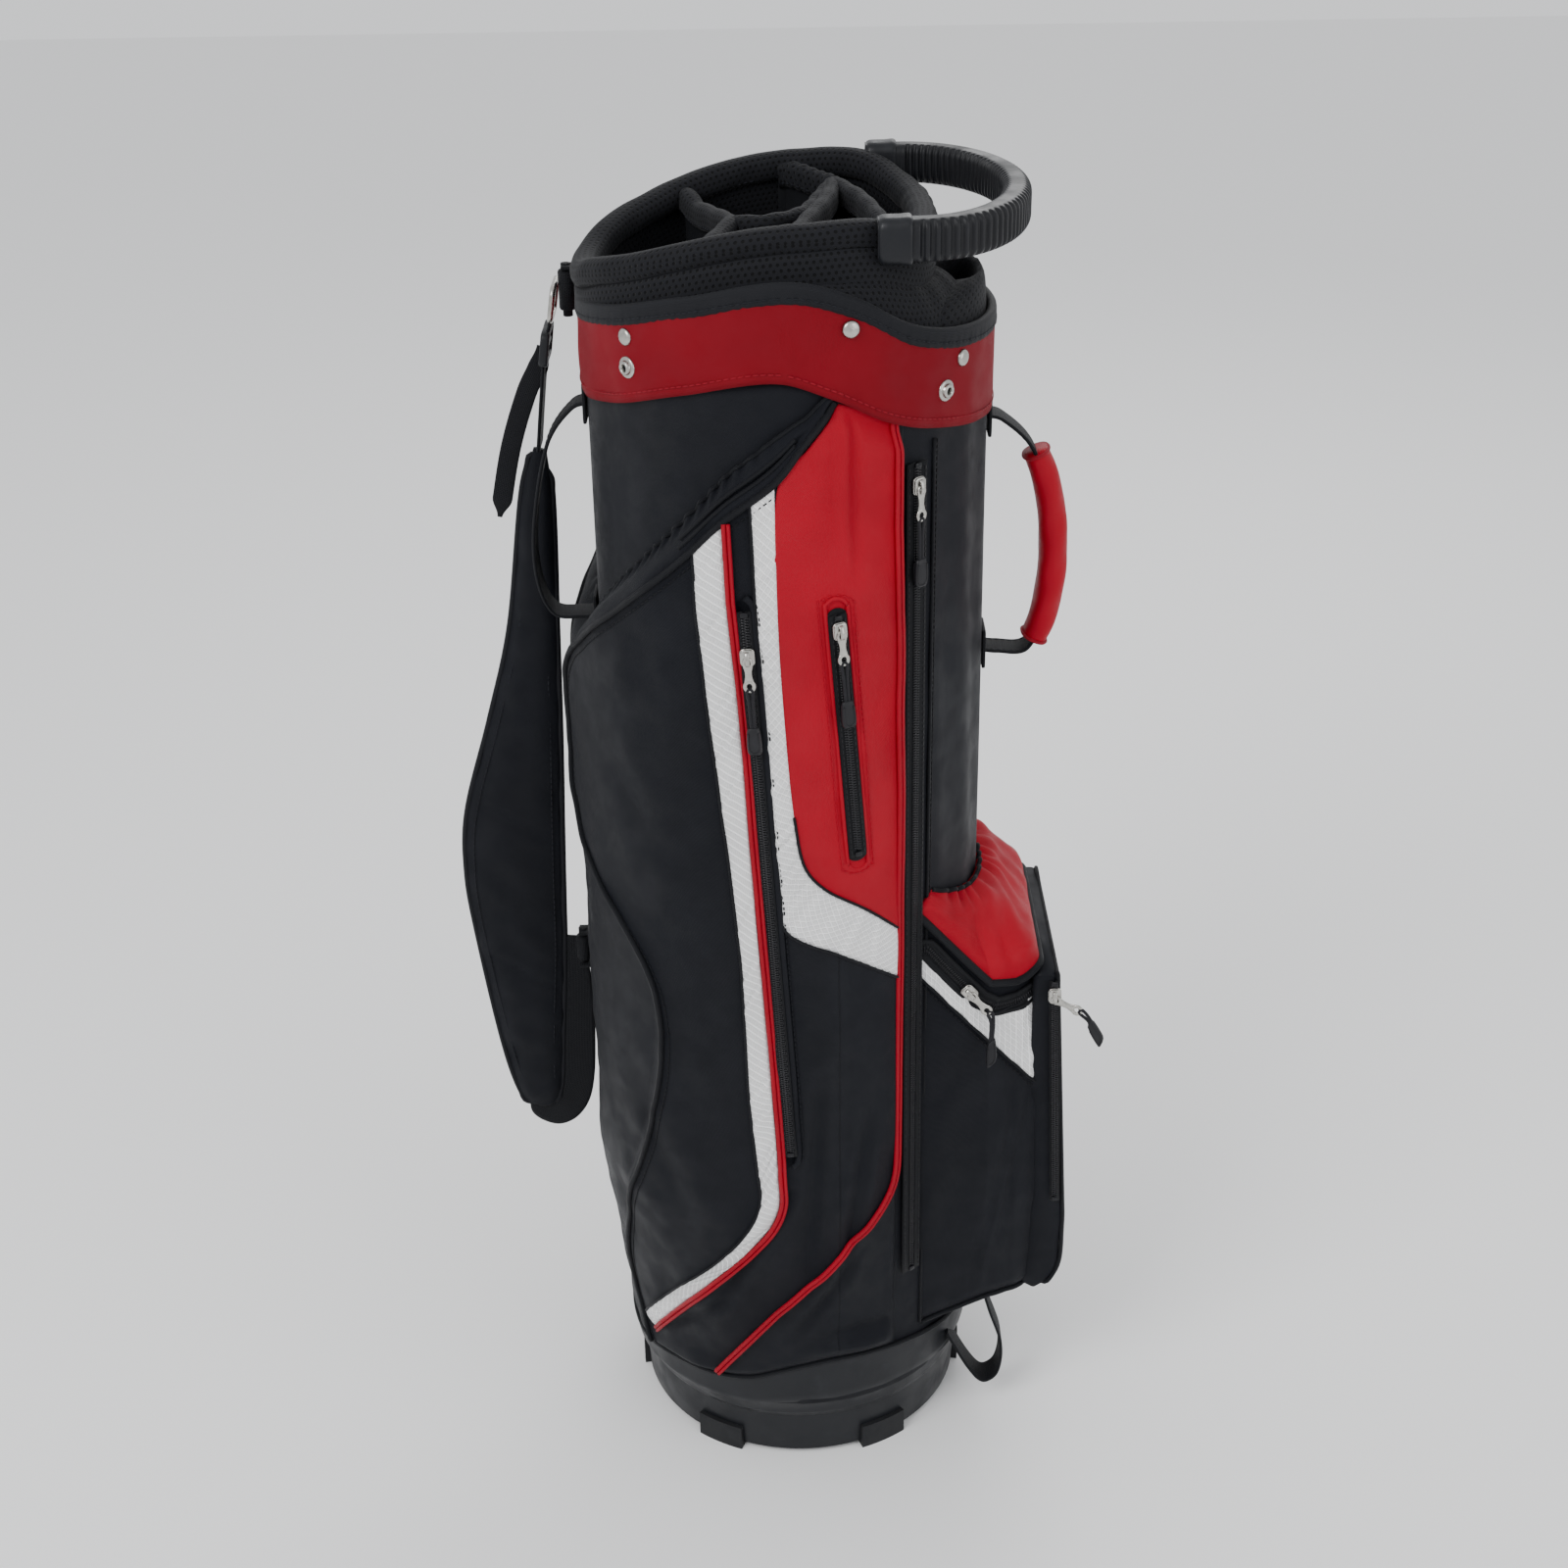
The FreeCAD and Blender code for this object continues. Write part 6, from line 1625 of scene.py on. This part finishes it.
def strapPieces():
    strapPad()
    y = strap["y"]
    upper, _ = band(strap["upper"], strap["webWidth"], 2.2, 90, y)
    makePiece("strap_upper_web", upper, "webbing", ("strap_upper_webbing",), body="strap")
    lower = edgeWeb(strap["lowerOuter"], strap["lowerInner"], 2.4, y)
    makePiece("strap_lower_web", lower, "webbing", ("strap_lower_webbing",), body="strap")
    path = through(inPlane(strap["tail"], y), 80)
    run = runLength(path)
    widths = 12.5 * (0.6 + 0.4 * ramp(run, 0, 14)) * (1 - 0.75 * ramp(run, run[-1] - 12, run[-1]))
    section = roundedBox(1.0, 2.4, 0.4, 4)[None] * np.stack([widths, np.ones(80)], -1)[:, None]
    tail = beam(path, section, (0, -1.0, 0))
    makePiece("strap_tail_web", tail, "webbing", ("strap_tail",), body="strap")
    (x1, z1), (x2, z2) = strap["upper"][1:3]
    slope = (x2 - x1) / (z2 - z1)
    up = unit(np.array([slope, 0, 1.0]))
    centre = np.array([x1 + slope * (strap["slideHeight"] - z1), y, strap["slideHeight"]])
    normal = np.cross(up, (0, 1.0, 0))
    line = through(np.array([centre + up * u + np.array([0, v, 0]) for u, v in strap["slide"]]), 90,
                   closed=True)
    bars = [beam(line, roundedBox(3.4, 5.4, 1.3, 4), normal, closed=True)]
    bars.append(pipe(evenly(np.array([centre + [0, -15, 0], centre + [0, 15, 0]]), 6), normal, 2.0, 10))
    makePiece("strap_slide", bars, "moulded", ("strap_adjuster",), body="strap", sharp=50)
    turning, fixed = [], []
    reach = shellRadius * np.cos(np.arcsin(y / shellRadius))
    for (x, z), half, gap, sides in zip(strap["anchors"], (12.0, 9.0), (12.0, 11.0), ((1,), (1, -1))):
        profile = [(0, -half), (4.4, -half), (5.0, -half + 1), (5.0, half - 1), (4.4, half), (0, half)]
        turning.append(lathe(profile, (x, y, z), (0, 0, 1.0), 20))
        for side in sides:
            level = z + side * (gap + 2)
            fixed.append(band([(-reach + 1, level), ((x - reach) / 2, level), (x - 2.5, level)], 12, 2.4, 30,
                              y)[0])
        pin = [(0, -gap - 4), (3, -gap - 4), (3, gap + 4), (0, gap + 4)]
        fixed.append(lathe(pin, (x, y, z), (0, 0, 1.0), 14))
        patch = block((20, 2 * gap + 2, 2.0), 2.0)
        fixed.append(placed(patch, np.array([-reach - 0.6, y, z]), np.array([0, 1.0, 0]),
                            np.array([0, 0, 1.0]), unit(np.array([-reach, y, 0.0]))))
    makePiece("strap_turning_loops", turning, "webbing", ("strap_tab",), body="strap")
    makePiece("strap_anchor_webs", fixed, "webbing", ("strap_anchors",))


baseLoop = {
    "line": [(104, 66), (120, 34), (131, 21), (141, 29), (143, 55), (134, 86), (127, 112)],
    "y": -56.0,
    "width": 20.0,
    "thick": 2.0,
}


def baseLoopPiece():
    piece, _ = band(baseLoop["line"], baseLoop["width"], baseLoop["thick"], 120, baseLoop["y"])
    makePiece("base_pull_loop", piece, "webbing", ("base_loop",))


plain = {"base_cup": "moulded", "base_feet": "rubber", "support_rods": "rod", "putter_tube": "moulded",
         "strap_ring": "nickel"}


def plainNodes():
    # the nodes that are shown as they come, each in its own finish
    for name, finish in plain.items():
        node = bpy.data.objects.get(name)
        if not node.material_slots:
            node.data.materials.append(finishes[finish])
        for slot in node.material_slots:
            slot.material = finishes[finish]


fabricTube()
cuffPieces()
fastenerPieces()
print("tube, cuff and fasteners made")
collarAndRim()
dividerPieces()
putterPad()
wellSurround()
topHandle()
print("throat made")
sidePockets()
pocketGusset()
print("side pockets made")
allZips()
zipWelts()
print("zips made")
ballPocket()
hood()
slipPocket()
ballZips()
print("ball pocket made")
handlePieces()
strapPieces()
baseLoopPiece()
plainNodes()
print("handles, strap and base loop made")


# Floor, light and camera

studio = {
    "floor": (0.88, 0.88, 0.88),
    "world": (0.97, 0.98, 1.0),
    "worldStrength": 1.0,
    "lamps": {"key": ((-1.3, -1.6, 2.2), 40.0, 1.2), "fill": ((1.8, -1.3, 1.2), 14.0, 1.6),
              "behind": ((0.6, 1.8, 1.9), 14.0, 1.2)},  # place, watts and size
    "cameraPlace": (0, -1.3288, 1.1624),
    "cameraTurn": (0.249, 27.36, -0.934),  # degrees to the left, down, and of roll
    "lens": 52.33,
}


def areaLight(name, place, watts, size, target=(0, 0, 0.45)):
    light = bpy.data.lights.new(name, "AREA")
    light.energy, light.size = watts, size
    lamp = bpy.data.objects.new(name, light)
    lamp.location = place
    lamp.rotation_euler = (Vector(target) - Vector(place)).to_track_quat("-Z", "Y").to_euler()
    bpy.context.scene.collection.objects.link(lamp)


def studioPieces():
    bpy.ops.mesh.primitive_plane_add(size=12, location=(0, 0, 0))
    floor = bpy.context.object
    floor.name = "floor"
    ground = Finish("pale floor", studio["floor"], 0.6)
    floor.data.materials.append(ground.material)
    world = bpy.context.scene.world or bpy.data.worlds.new("studio")
    bpy.context.scene.world = world
    world.use_nodes = True
    sky = world.node_tree.nodes["Background"].inputs
    sky["Color"].default_value = (*studio["world"], 1)
    sky["Strength"].default_value = studio["worldStrength"]
    for name, lamp in studio["lamps"].items():
        areaLight(name, *lamp)
    yaw, pitch, roll = np.radians(studio["cameraTurn"])
    forward = np.array([-np.sin(yaw) * np.cos(pitch), np.cos(yaw) * np.cos(pitch), -np.sin(pitch)])
    right = np.array([np.cos(yaw), np.sin(yaw), 0])
    up = np.cross(right, forward)
    turned = np.cos(roll) * right + np.sin(roll) * up
    upright = -np.sin(roll) * right + np.cos(roll) * up
    lens = bpy.data.cameras.new("camera")
    lens.lens, lens.sensor_width = studio["lens"], 36.0
    camera = bpy.data.objects.new("camera", lens)
    matrix = Matrix.Identity(4)
    for k, column in enumerate((turned, upright, -forward, studio["cameraPlace"])):
        for row in range(3):
            matrix[row][k] = column[row]
    camera.matrix_world = matrix
    bpy.context.scene.collection.objects.link(camera)
    bpy.context.scene.camera = camera


studioPieces()
